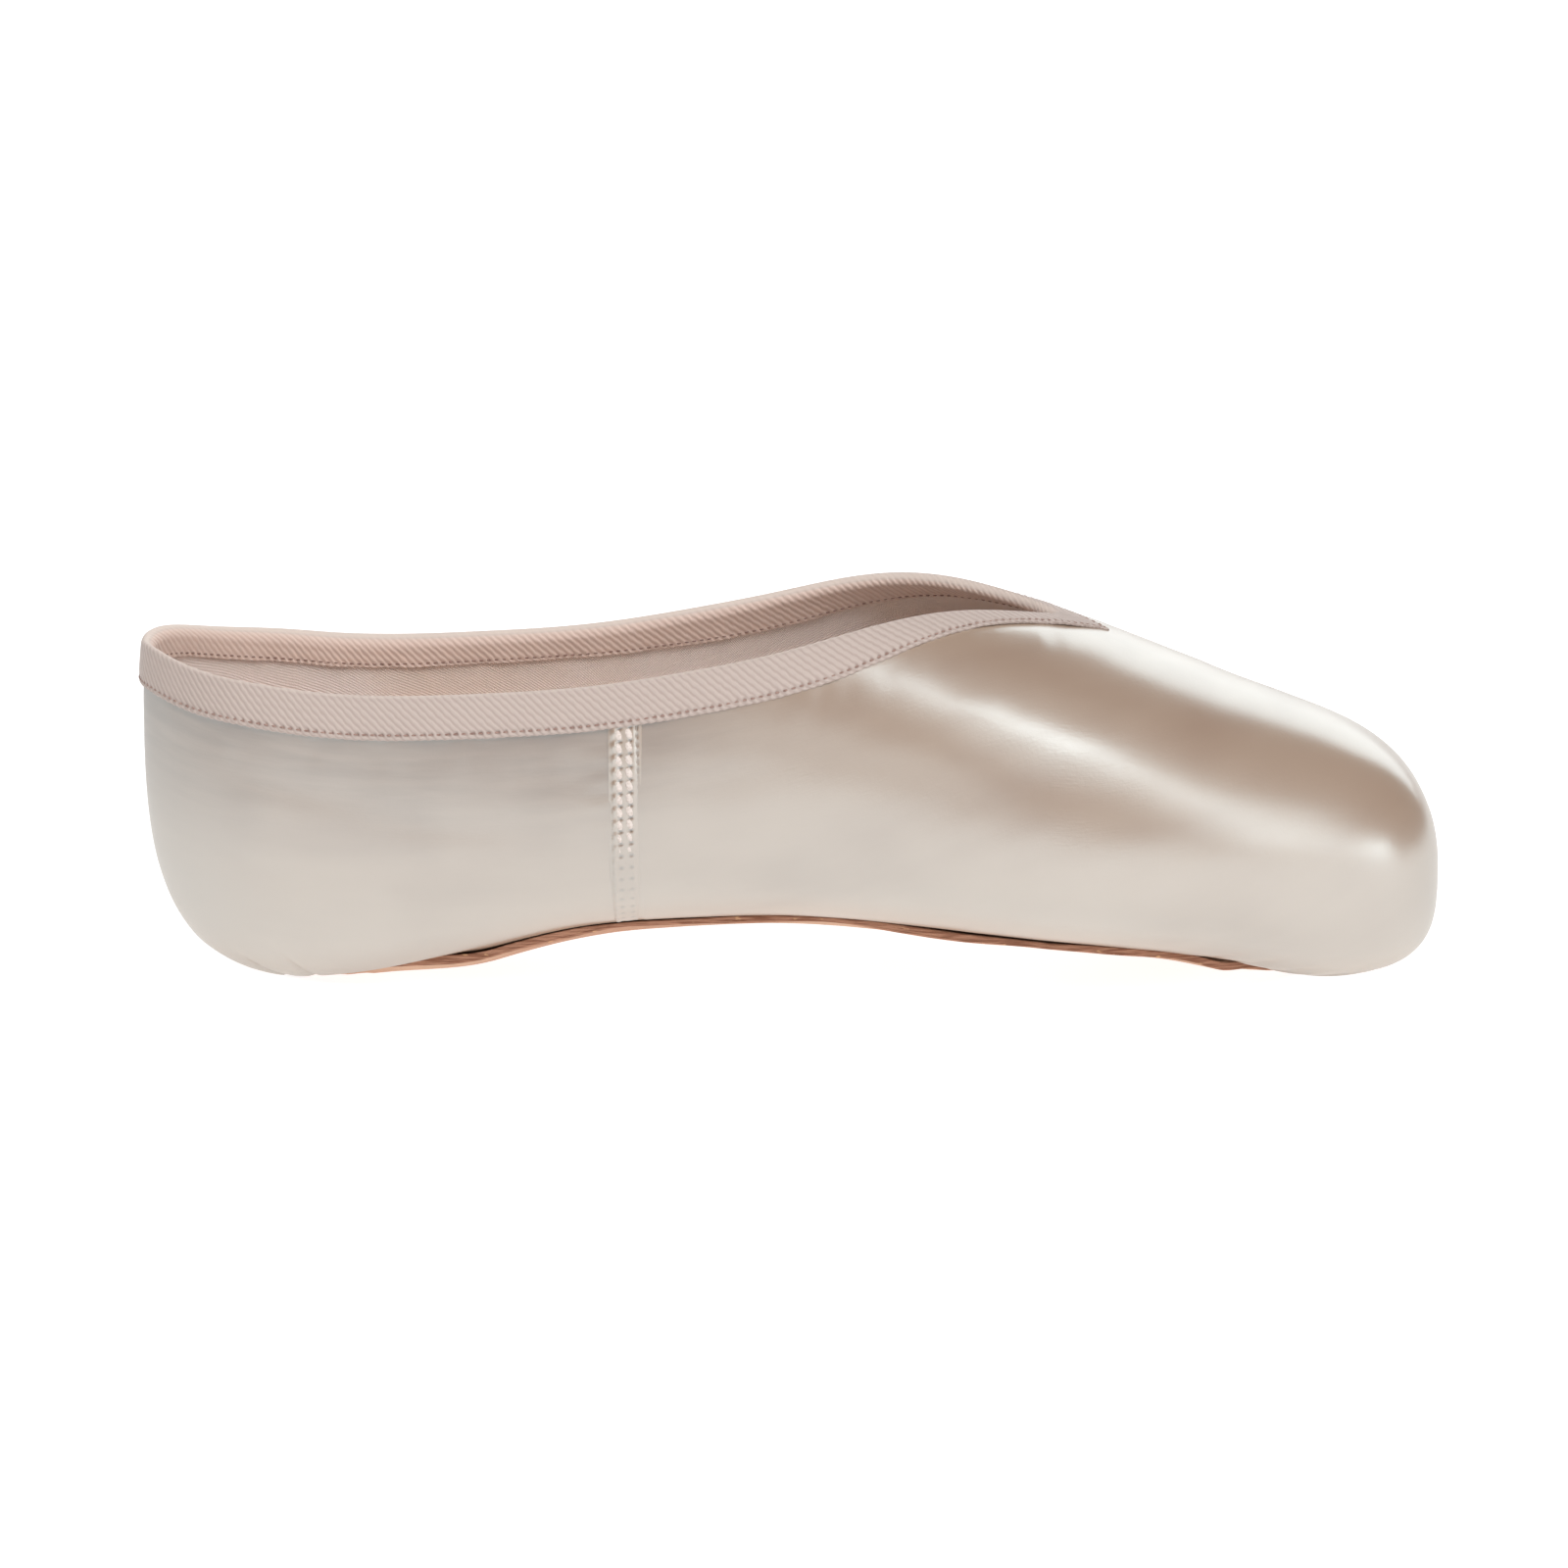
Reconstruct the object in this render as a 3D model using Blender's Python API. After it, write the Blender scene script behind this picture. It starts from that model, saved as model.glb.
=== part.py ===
"""Pointe shoe: satin upper with a V-cut throat, tape binding, side seams, leather outsole and insole.

Metres, +Z up, toe towards +X. The origin lies on the floor, half way along and across the shoe.
Lengths named "along" run from the back of the heel to the tip of the toe.
"""

import math

import bmesh
import bpy
import numpy as np

LENGTH = 0.240
BALL_WIDTH = 0.076
HEEL_HEIGHT = 0.061
INSTEP_HEIGHT = 0.069
ARCH_HEIGHT = 0.0106

COLLAR_WALL = 0.0010
QUARTER_WALL = 0.0016
BOX_WALL = 0.0028
CLEARANCE = 0.0003
# The toe box stiffens, and its wall thickens, between these shares of LENGTH.
BOX_SHARES = (0.70, 0.82)

OUTSOLE_THICKNESS = 0.0020
OUTSOLE_SIDE_GAP = 0.0004
OUTSOLE_LAP = 0.0060
RECESS_ROLL = 0.0012
INSOLE_THICKNESS = 0.0015
INSOLE_OVERREACH = 0.0006

BINDING_THICKNESS = 0.0006
BINDING_OUTER_LEAF = 0.0073
BINDING_INNER_LEAF = 0.0056

SEAM_ALONG = 0.0895
SEAM_WIDTH = 0.0052
SEAM_THICKNESS = 0.0006
SEAM_END_GAP = 0.0006

# Cross sections of the outer form: along as a share of LENGTH, half_width of BALL_WIDTH,
# bottom of ARCH_HEIGHT, middle (the widest level) and crown of INSTEP_HEIGHT. The higher
# flatness, the flatter the underside; the higher squareness, the flatter the sides.
SECTION_COLUMNS = ("along", "half_width", "bottom", "middle", "crown", "flatness", "squareness")
SECTIONS = (
    (0.000, 0.262, -0.10, 0.720, 1.360, 3.4, 2.3),
    (0.083, 0.320, -0.10, 0.700, 1.340, 3.7, 2.3),
    (0.167, 0.354, -0.10, 0.660, 1.310, 4.0, 2.3),
    (0.250, 0.373, 0.27, 0.600, 1.280, 3.8, 2.3),
    (0.333, 0.386, 0.79, 0.560, 1.250, 3.4, 2.3),
    (0.417, 0.406, 1.02, 0.530, 1.210, 3.2, 2.3),
    (0.500, 0.434, 1.09, 0.500, 1.160, 3.0, 2.3),
    (0.583, 0.474, 0.98, 0.460, 1.085, 3.0, 2.3),
    (0.667, 0.500, 0.78, 0.410, 0.995, 3.0, 2.3),
    (0.750, 0.482, 0.56, 0.370, 0.902, 3.0, 2.3),
    (0.833, 0.428, 0.28, 0.330, 0.783, 3.1, 2.4),
    (0.896, 0.370, -0.07, 0.300, 0.700, 3.2, 2.6),
    (0.958, 0.312, -0.10, 0.285, 0.620, 3.2, 2.8),
    (1.000, 0.278, -0.10, 0.280, 0.560, 3.2, 2.9),
)
CROWN_POWER = 2.2
HEEL_SPAN = 0.130 * LENGTH
HEEL_POWER = 2.5
TOE_SPAN = 0.200 * LENGTH
TOE_POWER = 7.0
# The quarters lean in by a share of their width, from a share of HEEL_HEIGHT up to the collar,
# and stand straight again between two shares of LENGTH.
LEAN_SHARE = 0.05
LEAN_FROM = 0.50
LEAN_FADE = (0.275, 0.55)

# The collar's edge from the heel to the throat: along as a share of LENGTH, side of BALL_WIDTH,
# height of a collar height that passes from HEEL_HEIGHT to INSTEP_HEIGHT between COLLAR_RISE.
COLLAR = (
    (0.0080, 0.000, 1.000),
    (0.0200, 0.120, 0.996),
    (0.0600, 0.223, 0.945),
    (0.1230, 0.290, 0.903),
    (0.1980, 0.328, 0.906),
    (0.2750, 0.340, 0.911),
    (0.3500, 0.340, 0.900),
    (0.4290, 0.322, 0.882),
    (0.5080, 0.284, 0.868),
    (0.5790, 0.220, 0.880),
    (0.6460, 0.136, 0.912),
    (0.6880, 0.069, 0.938),
    (0.7080, 0.000, 0.945),
)
COLLAR_RISE = (0.20, 0.60)

# The outsole's edge from the heel end to the toe end: along as a share of LENGTH, side of BALL_WIDTH.
OUTSOLE = (
    (0.100, 0.000),
    (0.108, 0.105),
    (0.140, 0.185),
    (0.190, 0.222),
    (0.270, 0.230),
    (0.375, 0.222),
    (0.460, 0.230),
    (0.545, 0.265),
    (0.620, 0.305),
    (0.690, 0.322),
    (0.750, 0.303),
    (0.810, 0.252),
    (0.855, 0.190),
    (0.874, 0.112),
    (0.879, 0.000),
)
# The outsole lies sunk into the upper behind the first share of LENGTH and beyond the last.
RECESS_SHARES = (0.180, 0.275, 0.815, 0.862)

# Upright planes that carry the columns of the mesh: fanned about a post at the heel and one at the
# toe, and set across the shoe between the posts.
HEEL_POST = 0.183 * LENGTH
TOE_POST = 0.688 * LENGTH
POST_HEIGHT = 0.43 * INSTEP_HEIGHT
HEEL_COLUMNS = 9
SIDE_COLUMNS = 16
TOE_COLUMNS = 11
UPPER_ROWS = 22
SEAM_ROWS = 14
# How far, in metres for each radian of bend, the rows of the mesh draw together.
CORNER_PULL = 0.014
CURVE_STEPS = 800
CHART_STEPS = 240
HALVINGS = 45
MERGE_DISTANCE = 1e-6
SHARP_ANGLE = math.radians(40)

COLOURS = {
    "upper": ((0.62, 0.52, 0.46), 0.35),
    "outsole": ((0.36, 0.17, 0.09), 0.70),
    "insole": ((0.52, 0.38, 0.30), 0.80),
    "binding": ((0.53, 0.44, 0.39), 0.80),
    "side_seam_right": ((0.66, 0.56, 0.50), 0.50),
    "side_seam_left": ((0.66, 0.56, 0.50), 0.50),
}


def natural_spline(knots, values):
    """A curve with no jump in slope or bend through the values at the knots."""
    knots, values = np.asarray(knots, float), np.asarray(values, float)
    gaps = np.diff(knots)
    count = len(knots)
    matrix = np.eye(count)
    right = np.zeros(count)
    for i in range(1, count - 1):
        matrix[i, i - 1 : i + 2] = gaps[i - 1], 2 * (gaps[i - 1] + gaps[i]), gaps[i]
        slopes = (values[i + 1] - values[i]) / gaps[i], (values[i] - values[i - 1]) / gaps[i - 1]
        right[i] = 6 * (slopes[0] - slopes[1])
    bends = np.linalg.solve(matrix, right)

    def curve(at):
        at = np.clip(at, knots[0], knots[-1])
        i = np.clip(np.searchsorted(knots, at) - 1, 0, count - 2)
        gap, before, after = gaps[i], at - knots[i], knots[i + 1] - at
        cubic = (bends[i] * after**3 + bends[i + 1] * before**3) / (6 * gap)
        low = (values[i] / gap - bends[i] * gap / 6) * after
        high = (values[i + 1] / gap - bends[i + 1] * gap / 6) * before
        return cubic + low + high

    return curve


def smooth_step(value, start, end):
    share = np.clip((value - start) / (end - start), 0, 1)
    return share * share * (3 - 2 * share)


section_rows = np.array(SECTIONS)
section_scale = dict(
    zip(SECTION_COLUMNS[1:], (BALL_WIDTH, ARCH_HEIGHT, INSTEP_HEIGHT, INSTEP_HEIGHT, 1, 1))
)
section_curves = {
    name: natural_spline(section_rows[:, 0] * LENGTH, section_rows[:, i + 1] * section_scale[name])
    for i, name in enumerate(section_scale)
}


def end_terms(along, inset):
    """How far a point lies into the rounding of the heel and of the toe."""
    heel = np.clip((HEEL_SPAN - along) / (HEEL_SPAN - inset), 0, None)
    toe = np.clip((along - LENGTH + TOE_SPAN) / (TOE_SPAN - inset), 0, None)
    return heel**HEEL_POWER + toe**TOE_POWER


def half_width(along, height):
    """Half the outer width, less the inward lean of the quarters towards the collar."""
    rise = np.clip(height / HEEL_HEIGHT - LEAN_FROM, 0, None) / (1 - LEAN_FROM)
    behind = 1 - smooth_step(along, LEAN_FADE[0] * LENGTH, LEAN_FADE[1] * LENGTH)
    lean = LEAN_SHARE * rise**2 * behind
    return section_curves["half_width"](along) * (1 - lean)


def form(along, side, height, inset):
    """Below zero inside the last-shaped form whose surface lies inset under the upper's outside."""
    bottom, middle, crown = (section_curves[n](along) for n in ("bottom", "middle", "crown"))
    flatness = section_curves["flatness"](along)
    below = np.clip((middle - height) / (middle - bottom - inset), 0, None) ** flatness
    above = np.clip((height - middle) / (crown - middle - inset), 0, None) ** CROWN_POWER
    across = (np.abs(side) / (half_width(along, height) - inset)) ** section_curves["squareness"](along)
    return across + below + above + end_terms(along, inset) - 1


def floor_height(along, side, inset):
    """Height of the form's underside at a place seen from above."""
    bottom, middle = section_curves["bottom"](along), section_curves["middle"](along)
    across = (np.abs(side) / (half_width(along, 0.0) - inset)) ** section_curves["squareness"](along)
    room = np.clip(1 - across - end_terms(along, inset), 0, None)
    height = middle - (middle - bottom - inset) * room ** (1 / section_curves["flatness"](along))
    return np.maximum(height, inset)


def recess(along):
    """How deep the outsole is sunk into the upper's underside."""
    depth = OUTSOLE_THICKNESS + CLEARANCE
    heel_end, waist_start, waist_end, toe_end = (s * LENGTH for s in RECESS_SHARES)
    behind = 1 - smooth_step(along, heel_end, waist_start)
    return depth * (behind + smooth_step(along, waist_end, toe_end))


def closed_curve(half):
    """A dense half of the closed curve through a table's points and their mirror images."""
    half = np.asarray(half)
    mirror = half[-2:0:-1] * np.where(np.arange(half.shape[1]) == 1, -1, 1)
    ring = np.vstack([half, mirror, half, mirror, half[:1]])
    lengths = np.concatenate([[0], np.cumsum(np.linalg.norm(np.diff(ring, axis=0), axis=1))])
    start = len(half) + len(mirror)
    at = np.linspace(lengths[start], lengths[start + len(half) - 1], CURVE_STEPS)
    return np.column_stack([natural_spline(lengths, ring[:, i])(at) for i in range(ring.shape[1])])


collar_rows = np.array(COLLAR)
collar_height = HEEL_HEIGHT + (INSTEP_HEIGHT - HEEL_HEIGHT) * smooth_step(collar_rows[:, 0], *COLLAR_RISE)
collar_curve = closed_curve(collar_rows * np.column_stack(
    [np.full(len(COLLAR), LENGTH), np.full(len(COLLAR), BALL_WIDTH), collar_height]
))
outsole_curve = closed_curve(np.array(OUTSOLE) * (LENGTH, BALL_WIDTH))


def columns():
    """Post and direction of each upright plane, from the heel round the left side, toe and right."""
    heel = [(HEEL_POST, math.pi - math.pi / 2 * i / HEEL_COLUMNS) for i in range(HEEL_COLUMNS)]
    span = TOE_POST - HEEL_POST
    side = [(HEEL_POST + span * i / SIDE_COLUMNS, math.pi / 2) for i in range(SIDE_COLUMNS)]
    toe = [(TOE_POST, math.pi / 2 * (1 - i / TOE_COLUMNS)) for i in range(TOE_COLUMNS + 1)]
    left = heel + side + toe
    right = [(post, -turn) for post, turn in left[-2:0:-1]]
    return np.array(left + right)


def meet(curve, planes):
    """Where each upright plane meets a curve given for the left side: reach from the post, height."""
    found = []
    for post, turn in planes:
        turn = abs(turn)
        if math.isclose(turn, math.pi / 2):
            order, target = curve[:, 0], post
        else:
            order, target = -np.arctan2(np.abs(curve[:, 1]), curve[:, 0] - post), -turn
        point = [np.interp(target, order, curve[:, i]) for i in range(curve.shape[1])]
        found.append([math.hypot(point[0] - post, point[1])] + point[2:])
    return np.array(found)


def place(planes, reach):
    """Along and side of a point at a reach from each plane's post."""
    return planes[:, 0] + reach * np.cos(planes[:, 1]), reach * np.sin(planes[:, 1])


def cast(planes, tilt, inset):
    """Points of the form at an upward tilt, seen from the posts at POST_HEIGHT."""
    tilt = np.asarray(tilt)
    near, far = np.zeros(tilt.shape), np.full(tilt.shape, LENGTH)
    post, turn = (planes[:, i].reshape(-1, *[1] * (tilt.ndim - 1)) for i in range(2))

    def at(reach):
        level = reach * np.cos(tilt)
        return post + level * np.cos(turn), level * np.sin(turn), POST_HEIGHT + reach * np.sin(tilt)

    for _ in range(HALVINGS):
        reach = (near + far) / 2
        inside = form(*at(reach), inset) < 0
        near, far = np.where(inside, reach, near), np.where(inside, far, reach)
    return np.stack(at(near), axis=-1)


def wall(along, way):
    """Thickness of the upper: thin at the collar, thick in the toe box."""
    stiffened = smooth_step(along, BOX_SHARES[0] * LENGTH, BOX_SHARES[1] * LENGTH)
    body = QUARTER_WALL + (BOX_WALL - QUARTER_WALL) * stiffened
    return COLLAR_WALL + (body - COLLAR_WALL) * smooth_step(way, 0, 2 * BINDING_OUTER_LEAF)


class Chart:
    """Tilts of points that lie a given way down the outside from the collar, column by column."""

    def __init__(self, planes):
        self.planes = planes
        reach, height = meet(collar_curve, planes).T
        self.collar_tilt = np.arctan2(height - POST_HEIGHT, reach)
        edge = meet(outsole_curve, planes)[:, 0]
        self.edge = edge
        self.foot_reach = edge + OUTSOLE_SIDE_GAP + RECESS_ROLL
        foot_place = place(planes, self.foot_reach)
        self.foot_wall = wall(foot_place[0], LENGTH)
        foot = floor_height(*foot_place, 0.0)
        foot_tilt = np.arctan2(foot - POST_HEIGHT, self.foot_reach)
        share = np.linspace(0, 1, CHART_STEPS)
        self.tilts = self.collar_tilt[:, None] + (foot_tilt - self.collar_tilt)[:, None] * share
        points = cast(planes, self.tilts, 0.0)
        hops = np.diff(points, axis=1)
        sizes = np.linalg.norm(hops, axis=2)
        units = hops / sizes[:, :, None]
        turns = np.arccos(np.clip((units[:, 1:] * units[:, :-1]).sum(axis=2), -1, 1))
        start = np.zeros((len(planes), 1))
        self.way = np.hstack([start, np.cumsum(sizes, axis=1)])
        bends = np.hstack([start, start, np.cumsum(turns, axis=1)])
        self.measure = self.way + CORNER_PULL * bends
        self.radius = np.linalg.norm(points[:, 0] - self.post_points(), axis=1)

    def post_points(self):
        level = np.full(len(self.planes), POST_HEIGHT)
        return np.column_stack([self.planes[:, 0], np.zeros(len(level)), level])

    def rows(self, count):
        """Evenly spread rows, closer together where the outside bends."""
        share = np.linspace(0, 1, count)
        spread = [np.interp(share * m[-1], m, t) for m, t in zip(self.measure, self.tilts)]
        return np.array(spread)

    def down(self, distance):
        """Tilt of the points a distance down from the collar's edge, or above it where negative."""
        distance = np.broadcast_to(distance, (len(self.planes),))
        below = [np.interp(d, w, t) for d, w, t in zip(distance, self.way, self.tilts)]
        return np.where(distance < 0, self.collar_tilt - distance / self.radius, below)

    def way_at(self, tilts):
        return np.array([np.interp(-t, -s, w) for t, s, w in zip(tilts, self.tilts, self.way)])


def skin(name, grid, wrap_columns=True, wrap_profile=True):
    """A closed mesh through a grid of points, one profile for each column."""
    count, size = grid.shape[:2]
    mesh = bmesh.new()
    verts = [[mesh.verts.new(p) for p in profile] for profile in grid]
    for i in range(count if wrap_columns else count - 1):
        for j in range(size if wrap_profile else size - 1):
            a, b = verts[i], verts[(i + 1) % count]
            k = (j + 1) % size
            mesh.faces.new((a[j], b[j], b[k], a[k]))
    if not wrap_columns:
        mesh.faces.new(verts[0])
        mesh.faces.new(verts[-1])
    bmesh.ops.remove_doubles(mesh, verts=mesh.verts, dist=MERGE_DISTANCE)
    bmesh.ops.triangulate(mesh, faces=mesh.faces, quad_method="SHORT_EDGE")
    bmesh.ops.recalc_face_normals(mesh, faces=mesh.faces)
    data = bpy.data.meshes.new(name)
    mesh.to_mesh(data)
    mesh.free()
    data.shade_smooth()
    data.set_sharp_from_angle(angle=SHARP_ANGLE)
    part = bpy.data.objects.new(name, data)
    bpy.context.collection.objects.link(part)
    colour, roughness = COLOURS[name]
    material = bpy.data.materials.new(name)
    material.use_nodes = True
    shader = material.node_tree.nodes["Principled BSDF"]
    shader.inputs["Base Color"].default_value = (*colour, 1)
    shader.inputs["Roughness"].default_value = roughness
    data.materials.append(material)
    return part


def build_upper(chart):
    """Hollow body, open at the collar and inside the outsole's edge."""
    planes = chart.planes
    tilts = chart.rows(UPPER_ROWS)
    outer = cast(planes, tilts, 0.0)
    thickness = wall(outer[:, :, 0], chart.way_at(tilts))
    # The inner wall's last row lies further out, above the ring where the underside rolls up
    reach = chart.foot_reach + chart.foot_wall
    foot = floor_height(*place(planes, reach), chart.foot_wall)
    inner_foot = np.arctan2(foot - POST_HEIGHT, reach)
    share = (tilts - tilts[:, :1]) / (tilts[:, -1:] - tilts[:, :1])
    inner = cast(planes, tilts[:, :1] + (inner_foot[:, None] - tilts[:, :1]) * share, thickness)
    outer[:, :, 2] = np.maximum(outer[:, :, 2], 0)
    inner[:, :, 2] = np.maximum(inner[:, :, 2], thickness)
    lip_outer, lip_inner = [], []
    for reach in (chart.edge + OUTSOLE_SIDE_GAP, chart.edge - OUTSOLE_LAP):
        along, side = place(planes, reach)
        lift = recess(along)
        lip_outer.append(np.column_stack([along, side, floor_height(along, side, 0.0) + lift]))
        above = floor_height(along, side, chart.foot_wall) + lift
        lip_inner.append(np.column_stack([along, side, above]))
    outer = np.concatenate([outer, np.stack(lip_outer, axis=1)], axis=1)
    inner = np.concatenate([inner, np.stack(lip_inner, axis=1)], axis=1)
    return skin("upper", np.concatenate([outer, inner[:, ::-1]], axis=1))


def sheet_grid(chart, reaches, base, thickness):
    """Profiles of a dished sheet: centre line to edge along the top, and back along the bottom."""
    top, bottom = [], []
    for reach in reaches:
        along, side = place(chart.planes, reach)
        low = base(along, side)
        top.append(np.column_stack([along, side, low + thickness]))
        bottom.append(np.column_stack([along, side, low]))
    return np.stack(top + bottom[::-1], axis=1)


def build_outsole(chart):
    """Leather sole that follows the upper's underside, flush with it at the heel and the toe."""
    def base(along, side):
        sunk = recess(along) - OUTSOLE_THICKNESS - CLEARANCE
        return np.maximum(floor_height(along, side, 0.0) + sunk, 0)
    lap = chart.edge - OUTSOLE_LAP
    grid = sheet_grid(chart, (lap * 0, lap / 2, lap, chart.edge), base, OUTSOLE_THICKNESS)
    return skin("outsole", grid, wrap_profile=False)


def build_insole(chart):
    """Sock on the upper's inner floor, wider than the opening that it covers."""
    def base(along, side):
        return floor_height(along, side, chart.foot_wall) + recess(along) + CLEARANCE
    lap, lip = chart.edge - OUTSOLE_LAP, chart.edge + OUTSOLE_SIDE_GAP
    grid = sheet_grid(chart, (lap * 0, lap / 2, lap, lip, lip + INSOLE_OVERREACH), base, INSOLE_THICKNESS)
    return skin("insole", grid, wrap_profile=False)


def build_binding(chart):
    """Twill tape folded over the collar's edge, clear of the upper's wall on both sides."""
    gap, tape = CLEARANCE, BINDING_THICKNESS
    face, back = gap + tape, gap
    outer, inner = BINDING_OUTER_LEAF, BINDING_INNER_LEAF
    # Each row: whether the point belongs to the inner leaf, how far it stands off the wall, way down
    profile = (
        (0, face, outer), (0, face, outer / 2), (0, face, 0), (0, back, -face),
        (1, back, -face), (1, face, 0), (1, face, inner / 2), (1, face, inner),
        (1, back, inner), (1, back, inner / 2), (1, back, 0), (1, 0, -back),
        (0, 0, -back), (0, back, 0), (0, back, outer / 2), (0, back, outer),
    )
    loops = []
    for inside, stand_off, way in profile:
        tilt = chart.down(way)
        along = cast(chart.planes, tilt, 0.0)[:, 0]
        body = wall(along, max(way, 0))
        inset = body + stand_off if inside else np.full(len(along), -stand_off)
        loops.append(cast(chart.planes, tilt, inset))
    return skin("binding", np.stack(loops, axis=1))


def build_seam(name, side):
    """Raised strip between quarter and vamp, from the binding to the outsole."""
    across = np.linspace(-0.5, 0.5, 3) * SEAM_WIDTH + SEAM_ALONG
    chart = Chart(np.column_stack([across, np.full(3, side * math.pi / 2)]))
    faces = []
    for stand_off in (CLEARANCE + SEAM_THICKNESS, CLEARANCE):
        rows = []
        for share in np.linspace(0, 1, SEAM_ROWS):
            first = BINDING_OUTER_LEAF + SEAM_END_GAP
            last = chart.way[:, -1] - SEAM_END_GAP
            tilt = chart.down(first + (last - first) * share)
            rows.append(cast(chart.planes, tilt, np.full(3, -stand_off)))
        faces.append(np.stack(rows, axis=1))
    grid = np.concatenate([faces[0], faces[1][:, ::-1]], axis=1)
    return skin(name, grid, wrap_columns=False)


def centre(parts):
    """Bring the middle of the whole shoe's length to the origin."""
    places = [vertex.co.x for part in parts for vertex in part.data.vertices]
    middle = (min(places) + max(places)) / 2
    for part in parts:
        part.location.x = -middle


for old in list(bpy.data.objects):
    bpy.data.objects.remove(old, do_unlink=True)

shoe_chart = Chart(columns())
centre([
    build_upper(shoe_chart),
    build_outsole(shoe_chart),
    build_insole(shoe_chart),
    build_binding(shoe_chart),
    build_seam("side_seam_right", -1),
    build_seam("side_seam_left", 1),
])
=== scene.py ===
import math

import bpy
import numpy as np
from mathutils import Matrix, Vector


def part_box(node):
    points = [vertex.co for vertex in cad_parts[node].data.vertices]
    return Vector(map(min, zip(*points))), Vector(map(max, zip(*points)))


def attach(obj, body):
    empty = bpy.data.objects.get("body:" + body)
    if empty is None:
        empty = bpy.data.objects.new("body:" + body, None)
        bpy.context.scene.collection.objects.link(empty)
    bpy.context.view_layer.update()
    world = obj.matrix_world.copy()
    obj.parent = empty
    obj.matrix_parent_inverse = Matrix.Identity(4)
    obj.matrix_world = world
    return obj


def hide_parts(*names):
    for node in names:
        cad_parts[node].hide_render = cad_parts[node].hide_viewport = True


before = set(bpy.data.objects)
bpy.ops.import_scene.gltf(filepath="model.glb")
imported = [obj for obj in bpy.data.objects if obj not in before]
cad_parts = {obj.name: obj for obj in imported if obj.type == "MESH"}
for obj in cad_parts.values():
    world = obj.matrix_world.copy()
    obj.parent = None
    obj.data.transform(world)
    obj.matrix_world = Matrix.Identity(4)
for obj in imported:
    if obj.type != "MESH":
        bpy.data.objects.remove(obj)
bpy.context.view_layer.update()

print("frame loaded")

# The camera and the studio

view = {
    "target": (-0.00095, 0.0, 0.0340),
    "distance": 1.0912,
    "elevation": 14.0,
    "roll": -0.4,
    "lens": 134.6,
    "farEnd": 50,
}

studio = {
    "floorSize": 14.0,
    "floorTone": 0.45,
    "floorGlow": 0.86,
    "floorRoughness": 0.9,
    "floorGloss": 0.1,
    "airStrength": 0.09,
}

# Azimuth (0 is the camera's side, 90 the toe's), elevation, distance, width, height, power, roll, gloss
lights = {
    "frontLow": (-16, 12, 2.0, 1.5, 0.5, 1.8, 0, True),
    "frontMid": (20, 33, 2.0, 0.9, 0.8, 2.0, 0, True),
    "stripHigh": (6, 52, 1.6, 1.3, 0.18, 2.7, -8, True),
    "stripBend": (33, 39, 1.6, 0.5, 0.18, 1.25, -45, True),
    "stripSide": (43, 16, 1.6, 0.2, 0.8, 1.9, 0, True),
    "stripToe": (60, 3, 1.6, 0.4, 0.2, 1.2, 0, True),
    "behind": (162, 24, 1.6, 1.6, 1.2, 13.5, 0, True),
    "heelBehind": (-128, 22, 1.6, 0.6, 0.6, 3, 0, True),
    "openShade": (0, 64, 1.5, 1.6, 1.0, 18, 0, False),  # only fills the shade
}


def placeCamera():
    tilt = Matrix.Rotation(math.radians(90 - view["elevation"]), 3, "X")
    roll = Matrix.Rotation(math.radians(view["roll"]), 3, "Z")
    lift = math.radians(view["elevation"])
    x, y, z = view["target"]
    bpy.ops.object.camera_add(location=(
        x, y - view["distance"] * math.cos(lift), z + view["distance"] * math.sin(lift)
    ))
    camera = bpy.context.object
    camera.name = "camera"
    camera.rotation_euler = (tilt @ roll).to_euler()
    camera.data.lens = view["lens"]
    camera.data.clip_end = view["farEnd"]
    bpy.context.scene.camera = camera


def hangLight(name, azimuth, elevation, distance, width, height, power, roll, glossy):
    turn, lift = math.radians(azimuth), math.radians(elevation)
    away = (math.sin(turn) * math.cos(lift), -math.cos(turn) * math.cos(lift), math.sin(lift))
    place = [t + distance * a for t, a in zip(view["target"], away)]
    bpy.ops.object.light_add(type="AREA", location=place)
    lamp = bpy.context.object
    lamp.name = name
    facing = Matrix.Rotation(turn, 3, "Z") @ Matrix.Rotation(math.pi / 2 - lift, 3, "X")
    lamp.rotation_euler = (facing @ Matrix.Rotation(math.radians(roll), 3, "Z")).to_euler()
    lamp.data.shape = "RECTANGLE"
    lamp.data.size, lamp.data.size_y = width, height
    lamp.data.energy = power
    lamp.visible_glossy = glossy


def makeStudio():
    bpy.ops.mesh.primitive_plane_add(size=studio["floorSize"])
    floor = bpy.context.object
    floor.name = "floor"
    paper = bpy.data.materials.new("paleFloor")
    paper.use_nodes = True
    shader = paper.node_tree.nodes["Principled BSDF"]
    shader.inputs["Base Color"].default_value = (*[studio["floorTone"]] * 3, 1)
    shader.inputs["Roughness"].default_value = studio["floorRoughness"]
    shader.inputs["Specular IOR Level"].default_value = studio["floorGloss"]
    shader.inputs["Emission Color"].default_value = (1, 1, 1, 1)
    shader.inputs["Emission Strength"].default_value = studio["floorGlow"]
    floor.data.materials.append(paper)
    world = bpy.data.worlds.new("studioAir")
    world.use_nodes = True
    air = world.node_tree.nodes["Background"]
    air.inputs["Color"].default_value = (1, 1, 1, 1)
    air.inputs["Strength"].default_value = studio["airStrength"]
    bpy.context.scene.world = world
    bpy.context.scene.view_settings.view_transform = "Standard"
    for name, light in lights.items():
        hangLight(name, *light)


bpy.ops.object.select_all(action="DESELECT")
placeCamera()
makeStudio()
print("camera and studio ready")

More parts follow.
